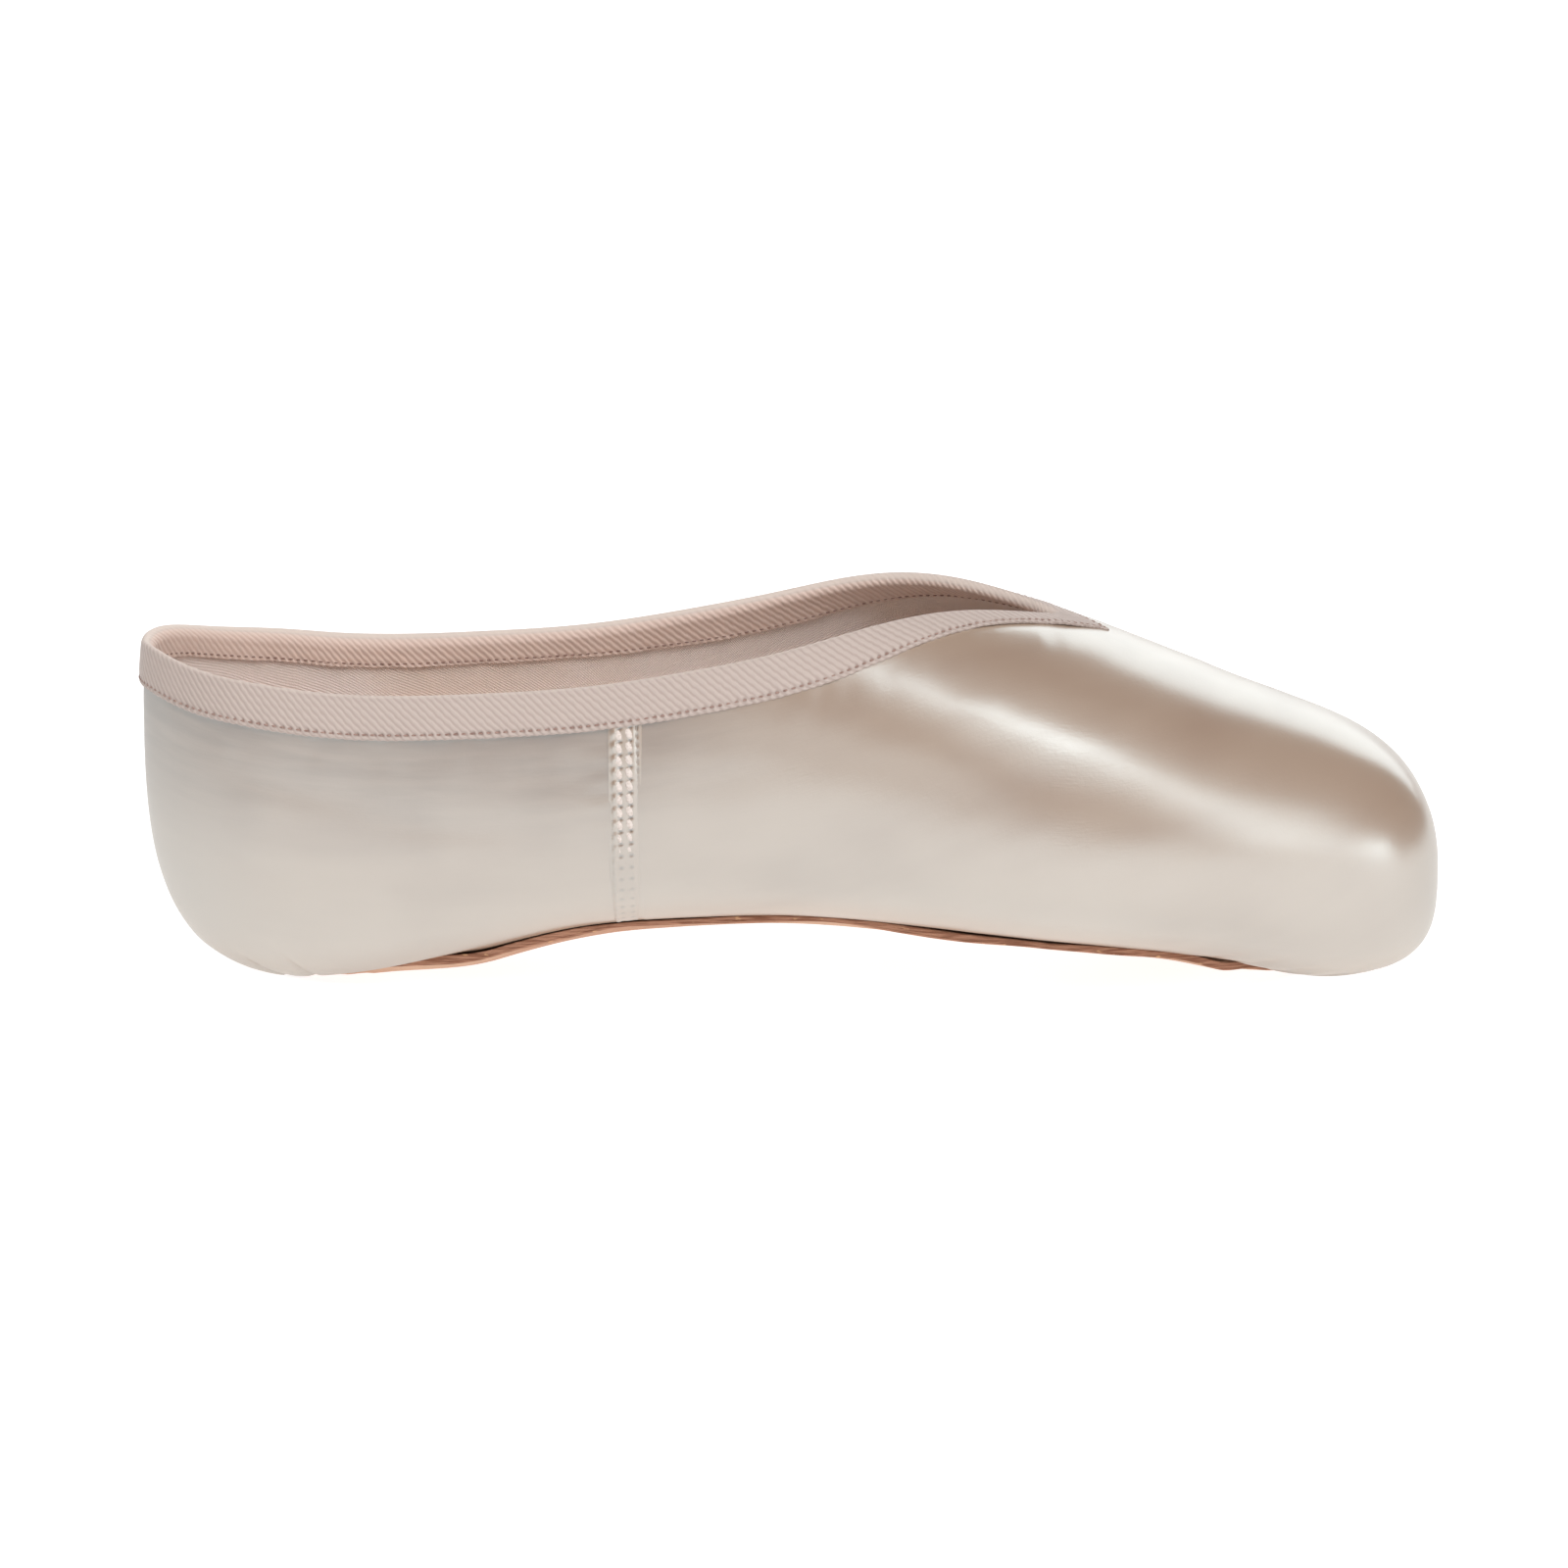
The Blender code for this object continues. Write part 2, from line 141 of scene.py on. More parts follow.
# The last: the form that the upper was pulled over, as in the CAD

last = {
    "length": 0.240,
    "ballWidth": 0.076,
    "heelHeight": 0.061,
    "instepHeight": 0.069,
    "archHeight": 0.0106,
    "crownPower": 2.2,
    "heelSpan": 0.130,  # share of the length
    "heelPower": 2.5,
    "toeSpan": 0.200,  # share of the length
    "toePower": 7.0,
    "leanShare": 0.05,
    "leanFrom": 0.50,
    "leanFade": (0.275, 0.55),
    "collarRise": (0.20, 0.60),
    "recess": (0.180, 0.275, 0.828, 0.882),
    "heelPost": 0.183,  # shares of the length
    "toePost": 0.688,
    "postHeight": 0.43,  # share of the instep height
    "columns": ("along", "halfWidth", "bottom", "middle", "crown", "flatness", "squareness"),
    "sections": (
        (0.000, 0.262, -0.10, 0.720, 1.360, 3.4, 2.3),
        (0.083, 0.320, -0.10, 0.700, 1.340, 3.7, 2.3),
        (0.167, 0.354, -0.10, 0.660, 1.310, 4.0, 2.3),
        (0.250, 0.373, 0.27, 0.600, 1.280, 3.8, 2.3),
        (0.333, 0.386, 0.79, 0.560, 1.250, 3.4, 2.3),
        (0.417, 0.406, 1.02, 0.530, 1.210, 3.2, 2.3),
        (0.500, 0.434, 1.09, 0.500, 1.160, 3.0, 2.3),
        (0.583, 0.474, 0.98, 0.460, 1.085, 3.0, 2.3),
        (0.667, 0.500, 0.78, 0.410, 0.995, 3.0, 2.3),
        (0.750, 0.482, 0.56, 0.370, 0.902, 3.0, 2.3),
        (0.833, 0.428, 0.28, 0.330, 0.783, 3.1, 2.4),
        (0.896, 0.370, -0.07, 0.300, 0.700, 3.2, 2.6),
        (0.958, 0.312, -0.10, 0.285, 0.620, 3.2, 2.8),
        (1.000, 0.278, -0.10, 0.280, 0.560, 3.2, 2.9),
    ),
    # Shares of the length, ball width and collar height
    "collar": (
        (0.0080, 0.000, 1.000), (0.0200, 0.120, 0.996), (0.0600, 0.223, 0.945), (0.1230, 0.290, 0.903),
        (0.1980, 0.328, 0.906), (0.2750, 0.340, 0.911), (0.3500, 0.340, 0.900), (0.4290, 0.322, 0.882),
        (0.5080, 0.284, 0.868), (0.5790, 0.220, 0.880), (0.6460, 0.136, 0.912), (0.6880, 0.069, 0.938),
        (0.7080, 0.000, 0.945),
    ),
    # Shares of the length and ball width
    "soleEdge": (
        (0.100, 0.000), (0.108, 0.090), (0.137, 0.148), (0.172, 0.186), (0.215, 0.214), (0.270, 0.228),
        (0.375, 0.222), (0.460, 0.230), (0.545, 0.265), (0.620, 0.305), (0.690, 0.322), (0.750, 0.306),
        (0.810, 0.262), (0.858, 0.214), (0.880, 0.165), (0.891, 0.095), (0.894, 0.000),
    ),
}
cloth = {
    "collarWall": 0.0010,
    "quarterWall": 0.0016,
    "boxWall": 0.0028,
    "boxShares": (0.70, 0.82),
    "gap": 0.0003,
    "soleThickness": 0.0020,
    "soleSideGap": 0.0004,
    "soleLap": 0.0060,
    "recessRoll": 0.0012,
    "tapeOuter": 0.0073,
    "tapeInner": 0.0056,
    "seamAlong": 0.0901,
    "seamWidth": 0.0052,
}
length, ballWidth = last["length"], last["ballWidth"]
postHeight = last["postHeight"] * last["instepHeight"]
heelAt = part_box("outsole")[0][0] - last["soleEdge"][0][0] * length  # X of the back of the heel


def naturalSpline(knots, values):
    knots, values = np.asarray(knots, float), np.asarray(values, float)
    gaps = np.diff(knots)
    count = len(knots)
    matrix, right = np.eye(count), np.zeros(count)
    for i in range(1, count - 1):
        matrix[i, i - 1 : i + 2] = gaps[i - 1], 2 * (gaps[i - 1] + gaps[i]), gaps[i]
        slopes = (values[i + 1] - values[i]) / gaps[i], (values[i] - values[i - 1]) / gaps[i - 1]
        right[i] = 6 * (slopes[0] - slopes[1])
    bends = np.linalg.solve(matrix, right)

    def curve(at):
        at = np.clip(at, knots[0], knots[-1])
        i = np.clip(np.searchsorted(knots, at) - 1, 0, count - 2)
        gap, before, after = gaps[i], at - knots[i], knots[i + 1] - at
        cubic = (bends[i] * after**3 + bends[i + 1] * before**3) / (6 * gap)
        low = (values[i] / gap - bends[i] * gap / 6) * after
        high = (values[i + 1] / gap - bends[i + 1] * gap / 6) * before
        return cubic + low + high

    return curve


def ofLength(shares):
    return [share * length for share in shares]


def smoothStep(value, start, end):
    share = np.clip((value - start) / (end - start), 0, 1)
    return share * share * (3 - 2 * share)


# A soft bump, 1 high, that fades over a reach to both sides
def swell(away, reach):
    return np.exp(-((away / reach) ** 2))


sectionRows = np.array(last["sections"])
sectionScale = (ballWidth, last["archHeight"], last["instepHeight"], last["instepHeight"], 1, 1)
sectionCurves = {
    name: naturalSpline(sectionRows[:, 0] * length, sectionRows[:, i + 1] * sectionScale[i])
    for i, name in enumerate(last["columns"][1:])
}


def sectionAt(along, *columns):
    return [sectionCurves[column](along) for column in columns]


# How much of the form's room its rounded heel and toe take
def endTerms(along, inset):
    heelSpan, toeSpan = last["heelSpan"] * length, last["toeSpan"] * length
    heel = np.clip((heelSpan - along) / (heelSpan - inset), 0, None)
    toe = np.clip((along - length + toeSpan) / (toeSpan - inset), 0, None)
    return heel ** last["heelPower"] + toe ** last["toePower"]


def halfWidth(along, height):
    rise = np.clip(height / last["heelHeight"] - last["leanFrom"], 0, None) / (1 - last["leanFrom"])
    behind = 1 - smoothStep(along, *ofLength(last["leanFade"]))
    return sectionCurves["halfWidth"](along) * (1 - last["leanShare"] * rise**2 * behind)


# Below zero inside the last-shaped form whose surface lies inset under the upper's outside
def lastForm(along, side, height, inset):
    bottom, middle, crown = sectionAt(along, "bottom", "middle", "crown")
    flatness, squareness = sectionAt(along, "flatness", "squareness")
    below = np.clip((middle - height) / (middle - bottom - inset), 0, None) ** flatness
    above = np.clip((height - middle) / (crown - middle - inset), 0, None) ** last["crownPower"]
    across = (np.abs(side) / (halfWidth(along, height) - inset)) ** squareness
    return across + below + above + endTerms(along, inset) - 1


def floorHeight(along, side, inset):
    bottom, middle, flatness, squareness = sectionAt(along, "bottom", "middle", "flatness", "squareness")
    across = (np.abs(side) / (halfWidth(along, 0.0) - inset)) ** squareness
    room = np.clip(1 - across - endTerms(along, inset), 0, None)
    height = middle - (middle - bottom - inset) * room ** (1 / flatness)
    return np.maximum(height, inset)


# How deep the outsole is sunk into the upper's underside
def recess(along):
    heelEnd, waistStart, waistEnd, toeEnd = ofLength(last["recess"])
    behind = 1 - smoothStep(along, heelEnd, waistStart)
    return (cloth["soleThickness"] + cloth["gap"]) * (behind + smoothStep(along, waistEnd, toeEnd))


curveSteps = 1600
castRounds = 34  # halvings, which find the surface to far less than a thread


# A dense half of the closed curve through a table's points and their mirror images
def closedCurve(half):
    half = np.asarray(half)
    mirror = half[-2:0:-1] * np.where(np.arange(half.shape[1]) == 1, -1, 1)
    ring = np.vstack([half, mirror, half, mirror, half[:1]])
    lengths = np.concatenate([[0], np.cumsum(np.linalg.norm(np.diff(ring, axis=0), axis=1))])
    start = len(half) + len(mirror)
    at = np.linspace(lengths[start], lengths[start + len(half) - 1], curveSteps)
    return np.column_stack([naturalSpline(lengths, ring[:, i])(at) for i in range(ring.shape[1])])


collarRows = np.array(last["collar"])
collarHeights = last["heelHeight"] + (last["instepHeight"] - last["heelHeight"]) * smoothStep(
    collarRows[:, 0], *last["collarRise"]
)
collarCurve = closedCurve(collarRows * np.column_stack(
    [np.full(len(collarRows), length), np.full(len(collarRows), ballWidth), collarHeights]
))
soleCurve = closedCurve(np.array(last["soleEdge"]) * (length, ballWidth))


# Post and direction of upright planes from the heel round the left side, the toe and the right
def planesAround(heelCount, sideCount, toeCount):
    heelPost, toePost = last["heelPost"] * length, last["toePost"] * length
    heel = [(heelPost, math.pi - math.pi / 2 * i / heelCount) for i in range(heelCount)]
    side = [(heelPost + (toePost - heelPost) * i / sideCount, math.pi / 2) for i in range(sideCount)]
    toe = [(toePost, math.pi / 2 * (1 - i / toeCount)) for i in range(toeCount + 1)]
    left = heel + side + toe
    return np.array(left + [(post, -turn) for post, turn in left[-2::-1]])


# Where each plane meets a curve given for the left side: reach from the post, then height
def meet(curve, planes):
    found = []
    for post, turn in planes:
        turn = abs(turn)
        if math.isclose(turn, math.pi / 2):
            order, target = curve[:, 0], post
        else:
            order, target = -np.arctan2(np.abs(curve[:, 1]), curve[:, 0] - post), -turn
        point = [np.interp(target, order, curve[:, i]) for i in range(curve.shape[1])]
        found.append([math.hypot(point[0] - post, point[1])] + point[2:])
    return np.array(found)


def placeOut(planes, reach):
    return planes[:, 0] + reach * np.cos(planes[:, 1]), reach * np.sin(planes[:, 1])


# Points on the form's underside, or above it, in the outsole's recess
def overSole(planes, reach, inset, rise=0.0):
    along, side = placeOut(planes, reach)
    return np.column_stack([along, side, floorHeight(along, side, inset) + recess(along) + rise])


# Points of the form at an upward tilt, seen from the posts
def cast(planes, tilt, inset):
    tilt = np.asarray(tilt)
    near, far = np.zeros(tilt.shape), np.full(tilt.shape, length)
    post, turn = (planes[:, i].reshape(-1, *[1] * (tilt.ndim - 1)) for i in range(2))

    def at(reach):
        level = reach * np.cos(tilt)
        return post + level * np.cos(turn), level * np.sin(turn), postHeight + reach * np.sin(tilt)

    for _ in range(castRounds):
        reach = (near + far) / 2
        inside = lastForm(*at(reach), inset) < 0
        near, far = np.where(inside, reach, near), np.where(inside, far, reach)
    return np.stack(at(near), axis=-1)


def wallAt(along, way):
    stiffened = smoothStep(along, *ofLength(cloth["boxShares"]))
    body = cloth["quarterWall"] + (cloth["boxWall"] - cloth["quarterWall"]) * stiffened
    return cloth["collarWall"] + (body - cloth["collarWall"]) * smoothStep(way, 0, 2 * cloth["tapeOuter"])


# Tilts of the points that lie a given way down the outside from the collar, plane by plane
class Chart:
    steps = 260
    cornerPull = 0.014

    def __init__(self, planes):
        self.planes = planes
        reach, height = meet(collarCurve, planes).T
        self.collarReach = reach
        self.collarTilt = np.arctan2(height - postHeight, reach)
        self.edge = meet(soleCurve, planes)[:, 0]
        self.footReach = self.edge + cloth["soleSideGap"] + cloth["recessRoll"]
        footPlace = placeOut(planes, self.footReach)
        self.footWall = wallAt(footPlace[0], length)
        footTilt = np.arctan2(floorHeight(*footPlace, 0.0) - postHeight, self.footReach)
        share = np.linspace(0, 1, self.steps)
        self.tilts = self.collarTilt[:, None] + (footTilt - self.collarTilt)[:, None] * share
        points = cast(planes, self.tilts, 0.0)
        hops = np.diff(points, axis=1)
        sizes = np.linalg.norm(hops, axis=2)
        units = hops / sizes[:, :, None]
        turns = np.arccos(np.clip((units[:, 1:] * units[:, :-1]).sum(axis=2), -1, 1))
        start = np.zeros((len(planes), 1))
        self.way = np.hstack([start, np.cumsum(sizes, axis=1)])
        self.measure = self.way + self.cornerPull * np.hstack([start, start, np.cumsum(turns, axis=1)])
        post = np.column_stack([planes[:, 0], 0 * reach, 0 * reach + postHeight])
        self.radius = np.linalg.norm(points[:, 0] - post, axis=1)

    def rows(self, count):
        share = np.linspace(0, 1, count)
        return np.array([np.interp(share * m[-1], m, t) for m, t in zip(self.measure, self.tilts)])

    def down(self, distance):
        distance = np.broadcast_to(distance, (len(self.planes),))
        below = [np.interp(d, w, t) for d, w, t in zip(distance, self.way, self.tilts)]
        return np.where(distance < 0, self.collarTilt - distance / self.radius, below)

    def wayAt(self, tilts):
        return np.array([np.interp(-t, -s, w) for t, s, w in zip(tilts, self.tilts, self.way)])


# Smooth numbers between -1 and 1 along a line, with waves about a given length
def ripple(at, waveLength, seed):
    draw = np.random.default_rng(seed)
    total = 0 * np.asarray(at, float)
    for shorter, share in ((1.0, 0.5), (1.7, 0.32), (2.9, 0.18)):
        wave = waveLength / shorter * draw.uniform(0.85, 1.15)
        total = total + np.sin(2 * math.pi * (np.asarray(at) / wave + draw.uniform())) * share
    return total


def pathLength(points):
    return np.concatenate([[0], np.cumsum(np.linalg.norm(np.diff(points, axis=0), axis=1))])


# Mesh building

mergeReach = 0.000002
sharpAngle = math.radians(50)
stitchSegments, stitchRings = 8, 5


# A primitive grid laid onto places: an array of columns by rows of points, with their cloth lengths
def layGrid(name, places, lengths, marks={}, lining=None):
    columns, rows = places.shape[0] - 1, places.shape[1] - 1
    bpy.ops.object.select_all(action="DESELECT")
    bpy.ops.mesh.primitive_grid_add(x_subdivisions=columns, y_subdivisions=rows, size=1)
    piece = bpy.context.object
    piece.name = piece.data.name = name
    mesh = piece.data
    flat = np.empty(len(mesh.vertices) * 3)
    mesh.vertices.foreach_get("co", flat)
    flat = flat.reshape(-1, 3)
    i = np.rint((flat[:, 0] + 0.5) * columns).astype(int)
    j = np.rint((flat[:, 1] + 0.5) * rows).astype(int)
    moved = places[i, j] + (heelAt, 0, 0)
    mesh.vertices.foreach_set("co", moved.ravel())
    corners = np.empty(len(mesh.loops), int)
    mesh.loops.foreach_get("vertex_index", corners)
    mesh.uv_layers[0].uv.foreach_set("vector", lengths[i[corners], j[corners]].ravel())
    for title, mark in marks.items():
        layer = mesh.attributes.new(title, "FLOAT", "POINT")
        layer.data.foreach_set("value", mark[i, j].astype(float))
    if lining:  # faces between two rows take the second material
        row = j[corners].reshape(-1, 4).min(axis=1)
        mesh.polygons.foreach_set("material_index", (row >= lining[0]) & (row < lining[1]))
    bpy.ops.object.mode_set(mode="EDIT")
    bpy.ops.mesh.select_all(action="SELECT")
    bpy.ops.mesh.remove_doubles(threshold=mergeReach)
    bpy.ops.mesh.normals_make_consistent(inside=False)
    bpy.ops.object.mode_set(mode="OBJECT")
    bpy.ops.object.shade_smooth_by_angle(angle=sharpAngle)
    return piece


# Cloth lengths of a laid grid: along the columns at one row, and down each column
def clothLengths(places, row):
    u = pathLength(places[:, row])
    v = np.array([pathLength(column) for column in places])
    return np.stack([np.broadcast_to(u[:, None], v.shape), v], axis=-1)


# One stitch, stamped at each frame of an array of 4 by 4 matrices
def sew(name, frames, size):
    bpy.ops.object.select_all(action="DESELECT")
    bpy.ops.mesh.primitive_uv_sphere_add(segments=stitchSegments, ring_count=stitchRings, radius=0.5)
    stitch = bpy.context.object
    corners = np.array([v.co for v in stitch.data.vertices])[:, (2, 0, 1)] * size
    faces = [list(f.vertices) for f in stitch.data.polygons]
    bpy.data.objects.remove(stitch)
    points = np.einsum("nij,vj->nvi", frames[:, :3, :3], corners) + frames[:, None, :3, 3]
    points += (heelAt, 0, 0)
    count = len(corners)
    stamped = [[k + n * count for k in face] for n in range(len(frames)) for face in faces]
    mesh = bpy.data.meshes.new(name)
    mesh.from_pydata(points.reshape(-1, 3).tolist(), [], stamped)
    mesh.shade_smooth()
    row = bpy.data.objects.new(name, mesh)
    bpy.context.collection.objects.link(row)
    return row


# Frames whose X runs from one point to the next and whose Z leans to the outward directions
def stitchFrames(starts, ends, outward):
    along = ends - starts
    along /= np.linalg.norm(along, axis=1)[:, None]
    across = np.cross(outward, along)
    across /= np.linalg.norm(across, axis=1)[:, None]
    up = np.cross(along, across)
    frames = np.zeros((len(starts), 4, 4))
    frames[:, :3, 0], frames[:, :3, 1], frames[:, :3, 2] = along, across, up
    frames[:, :3, 3] = (starts + ends) / 2
    frames[:, 3, 3] = 1
    return frames


def settle(piece, nodes, slot, *materials):
    for material in materials:
        piece.data.materials.append(material)
    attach(piece, "root")
    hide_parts(*nodes)
    return piece


# Materials: expressions on sockets add their own Math nodes

class Wire:
    def __init__(self, finish, socket):
        self.finish, self.socket = finish, socket

    def math(self, operation, *values):
        return self.finish.add("Math", {"operation": operation}, dict(enumerate(values)))

    def __add__(self, other):
        return self.math("ADD", self, other)

    def __radd__(self, other):
        return self.math("ADD", other, self)

    def __sub__(self, other):
        return self.math("SUBTRACT", self, other)

    def __rsub__(self, other):
        return self.math("SUBTRACT", other, self)

    def __mul__(self, other):
        return self.math("MULTIPLY", self, other)

    def __rmul__(self, other):
        return self.math("MULTIPLY", other, self)

    def sine(self):
        return self.math("SINE", self)

    def between(self, low, high):
        inputs = {"Value": self, "From Min": low, "From Max": high}
        return self.finish.add("MapRange", {"interpolation_type": "SMOOTHSTEP"}, inputs, "Result")


class Finish:
    def __init__(self, name, **constants):
        self.material = bpy.data.materials.new(name)
        self.material.use_nodes = True
        self.tree = self.material.node_tree
        self.shader = self.tree.nodes["Principled BSDF"]
        for title, value in constants.items():
            self.shader.inputs[socketNames[title]].default_value = value

    # A node of any kind: its settings are made before its sockets are filled
    def add(self, kind, settings=None, inputs=None, output=0):
        node = self.tree.nodes.new("ShaderNode" + kind)
        for title, value in (settings or {}).items():
            setattr(node, title, value)
        for title, value in (inputs or {}).items():
            if isinstance(value, Wire):
                self.tree.links.new(value.socket, node.inputs[title])
            else:
                node.inputs[title].default_value = value
        return Wire(self, node.outputs[output])

    def blend(self, share, first, second):
        return self.add("Mix", {"data_type": "RGBA"}, {0: share, 6: first, 7: second}, 2)

    # A scale of three numbers stretches the pattern
    def noise(self, vector, scale, detail=2.0, roughness=0.5):
        if isinstance(scale, tuple):
            vector, scale = self.add("Mapping", None, {"Vector": vector, "Scale": scale}), 1.0
        return self.add("TexNoise", None, {
            "Vector": vector, "Scale": scale, "Detail": detail, "Roughness": roughness
        })

    def mark(self, title):
        return self.add("Attribute", {"attribute_name": title}, None, "Fac")

    def parts(self, vector):
        return [self.add("SeparateXYZ", None, {"Vector": vector}, axis) for axis in "XYZ"]

    # The piece's own lengths of cloth, in metres
    def lengths(self):
        return self.add("UVMap", {"uv_map": "UVMap"})

    def objectPlace(self):
        return self.add("TexCoord", None, None, "Object")

    def bump(self, height, depth, under=None):
        inputs = {"Height": height, "Distance": depth, "Strength": 1.0}
        if under is not None:
            inputs["Normal"] = under
        return self.add("Bump", None, inputs)

    def feed(self, **links):
        for title, wire in links.items():
            self.tree.links.new(wire.socket, self.shader.inputs[socketNames[title]])
        return self.material


socketNames = {
    "colour": "Base Color", "roughness": "Roughness", "normal": "Normal", "index": "IOR",
    "gloss": "Specular IOR Level", "glossTint": "Specular Tint",
    "sheen": "Sheen Weight", "sheenRoughness": "Sheen Roughness",
}


# An sRGB colour of 0 to 255 as the shader's linear values
def tone(red, green, blue):
    shares = [value / 255 for value in (red, green, blue)]
    return (*[s / 12.92 if s <= 0.04045 else ((s + 0.055) / 1.055) ** 2.4 for s in shares], 1)


satinLook = {
    "body": tone(177, 151, 131),
    "shade": tone(167, 139, 119),
    "pale": tone(186, 162, 143),
    # Painted shade: the quarter's satin below the tape is darkened where it turns away from the light
    "slackAndPaintedShade": tone(134, 103, 84),
    # Stitch holes and painted shade in the seam's dimples and along its folded edge
    "seamHoleAndPaintedShade": tone(112, 86, 74),
    "index": 3.2,  # far above glass, for satin's strong gloss
    "glossTint": (0.85, 1.0, 1.03, 1),
    "roughness": 0.26,
    "unevenness": 0.06,
    "dull": 0.10,
    "grain": 0.000012,
    "slub": 0.000016,
}


def makeSatin():
    finish = Finish("satinCloth", index=satinLook["index"], glossTint=satinLook["glossTint"])
    vector = finish.lengths()
    patches = finish.noise(vector, (18, 60, 1), 3)
    cloud = finish.noise(finish.objectPlace(), 26, 2)
    colour = finish.blend(patches.between(0.35, 0.75), satinLook["body"], satinLook["shade"])
    colour = finish.blend(cloud.between(0.45, 0.75) * 0.6, colour, satinLook["pale"])
    streaks = finish.noise(vector, (60, 420, 1), 2).between(0.3, 0.7)
    # Painted shade on the quarter below the tape, broken by streaks; the same mark also dulls the gloss
    colour = finish.blend(finish.mark("slackAndPaintedShade") * (0.65 + streaks * 0.3), colour, satinLook["slackAndPaintedShade"])
    # Stitch holes and the painted shade of the seam's dimples and folded edge
    colour = finish.blend(finish.mark("stitchHoleAndPaintedShade"), colour, satinLook["seamHoleAndPaintedShade"])
    slubs = finish.noise(vector, (350, 2600, 1), 2)
    grain = finish.noise(finish.objectPlace(), 1700, 2)
    normal = finish.bump(slubs, satinLook["slub"], finish.bump(grain, satinLook["grain"]))
    rough = satinLook["roughness"] + patches * satinLook["unevenness"]
    rough = rough + finish.mark("slackAndPaintedShade") * satinLook["dull"]
    return finish.feed(colour=colour, roughness=rough, normal=normal)


canvasLook = {
    "body": tone(252, 237, 229),
    "warm": tone(250, 228, 212),
    # Painted shade in the weave's hollows
    "hollow": tone(243, 224, 214),
    "pitch": 0.00055,
    "relief": 0.00009,
}


def makeCanvas():
    finish = Finish("liningCanvas", gloss=0.25, roughness=0.85, sheen=0.1, sheenRoughness=0.5)
    u, v, _ = finish.parts(finish.lengths())
    turn = 2 * math.pi / canvasLook["pitch"]
    weave = (u * turn).sine() * (v * turn).sine()
    patches = finish.noise(finish.objectPlace(), 30, 3)
    colour = finish.blend(patches.between(0.4, 0.7), canvasLook["body"], canvasLook["warm"])
    # Painted shade in the hollows between the threads
    colour = finish.blend((weave * 0.5 + 0.5).between(0.0, 0.5), canvasLook["hollow"], colour)
    return finish.feed(colour=colour, normal=finish.bump(weave, canvasLook["relief"]))


tapeLook = {
    "body": tone(193, 178, 170),
    # Groove tones: painted shade in the grooves between the twill's ribs
    "groove": tone(180, 163, 155),
    # The inside leaf is the same tape, given lighter tones as painted light against the shade inside the
    # collar
    "inside": tone(232, 209, 197),
    "insideGroove": tone(220, 194, 181),
    # Painted highlight along the top of the fold, where the tape faces the light
    "fold": tone(224, 209, 199),
    # Painted shade round each stitch, in the groove under the stitch line
    "stitchHoleAndPaintedShade": tone(112, 84, 74),
    "pitch": 0.00105,
    "wander": 0.0003,
    "relief": 0.00010,
}


def makeTape():
    finish = Finish("twillTape", gloss=0.3, roughness=0.78, sheen=0.2, sheenRoughness=0.4)
    vector = finish.lengths()
    u, v, _ = finish.parts(vector)
    wander = finish.noise(vector, (500, 500, 1), 1) * tapeLook["wander"]
    phase = ((u - v) * math.sqrt(0.5) + wander) * (2 * math.pi / tapeLook["pitch"])  # ribs at 45 degrees
    rib = phase.sine() * 0.5 + 0.5
    fuzz = finish.noise(finish.objectPlace(), 2600, 2)
    # Painted light: the inside leaf is lightened against the collar's shade
    inside = finish.mark("insideLeaf")
    body = finish.blend(inside, tapeLook["body"], tapeLook["inside"])
    groove = finish.blend(inside, tapeLook["groove"], tapeLook["insideGroove"])
    # Painted shade in the grooves between the ribs
    colour = finish.blend(rib.between(0.05, 0.65), groove, body)
    # Painted highlight along the top of the fold
    colour = finish.blend(finish.mark("fold"), colour, tapeLook["fold"])
    # Painted shade round the stitches
    colour = finish.blend(finish.mark("stitchHoleAndPaintedShade"), colour, tapeLook["stitchHoleAndPaintedShade"])
    height = rib * (1 - finish.mark("fold") * 0.7) + fuzz * 0.35
    return finish.feed(colour=colour, normal=finish.bump(height, tapeLook["relief"]))


leatherLook = {
    "edge": tone(182, 133, 108),
    "edgeDark": tone(142, 95, 72),
    "fleck": tone(222, 176, 132),
    "face": tone(186, 142, 116),
    "faceWorn": tone(206, 168, 142),
    "relief": 0.00025,
    "roughness": 0.7,
}


def makeLeather():
    finish = Finish("soleLeather", gloss=0.3)
    place = finish.objectPlace()
    edge = finish.mark("cutEdge")
    layers = finish.noise(place, (160, 160, 2400), 3)
    flecks = finish.noise(place, (420, 420, 1200), 2)
    nap = finish.noise(place, 900, 4, 0.65)
    wear = finish.noise(place, 34, 4, 0.6)
    face = finish.blend(wear.between(0.42, 0.68), leatherLook["face"], leatherLook["faceWorn"])
    side = finish.blend(layers.between(0.4, 0.62), leatherLook["edge"], leatherLook["edgeDark"])
    side = finish.blend(flecks.between(0.66, 0.74) * 0.8, side, leatherLook["fleck"])
    colour = finish.blend(edge, face, side)
    height = nap * 0.6 + layers * edge * 1.6
    return finish.feed(
        colour=colour,
        normal=finish.bump(height, leatherLook["relief"]),
        roughness=leatherLook["roughness"] + nap * 0.2,
    )


sockLook = {
    "body": tone(222, 200, 186),
    "worn": tone(208, 182, 166),
    "pitch": 0.0007,
    "relief": 0.0001,
}


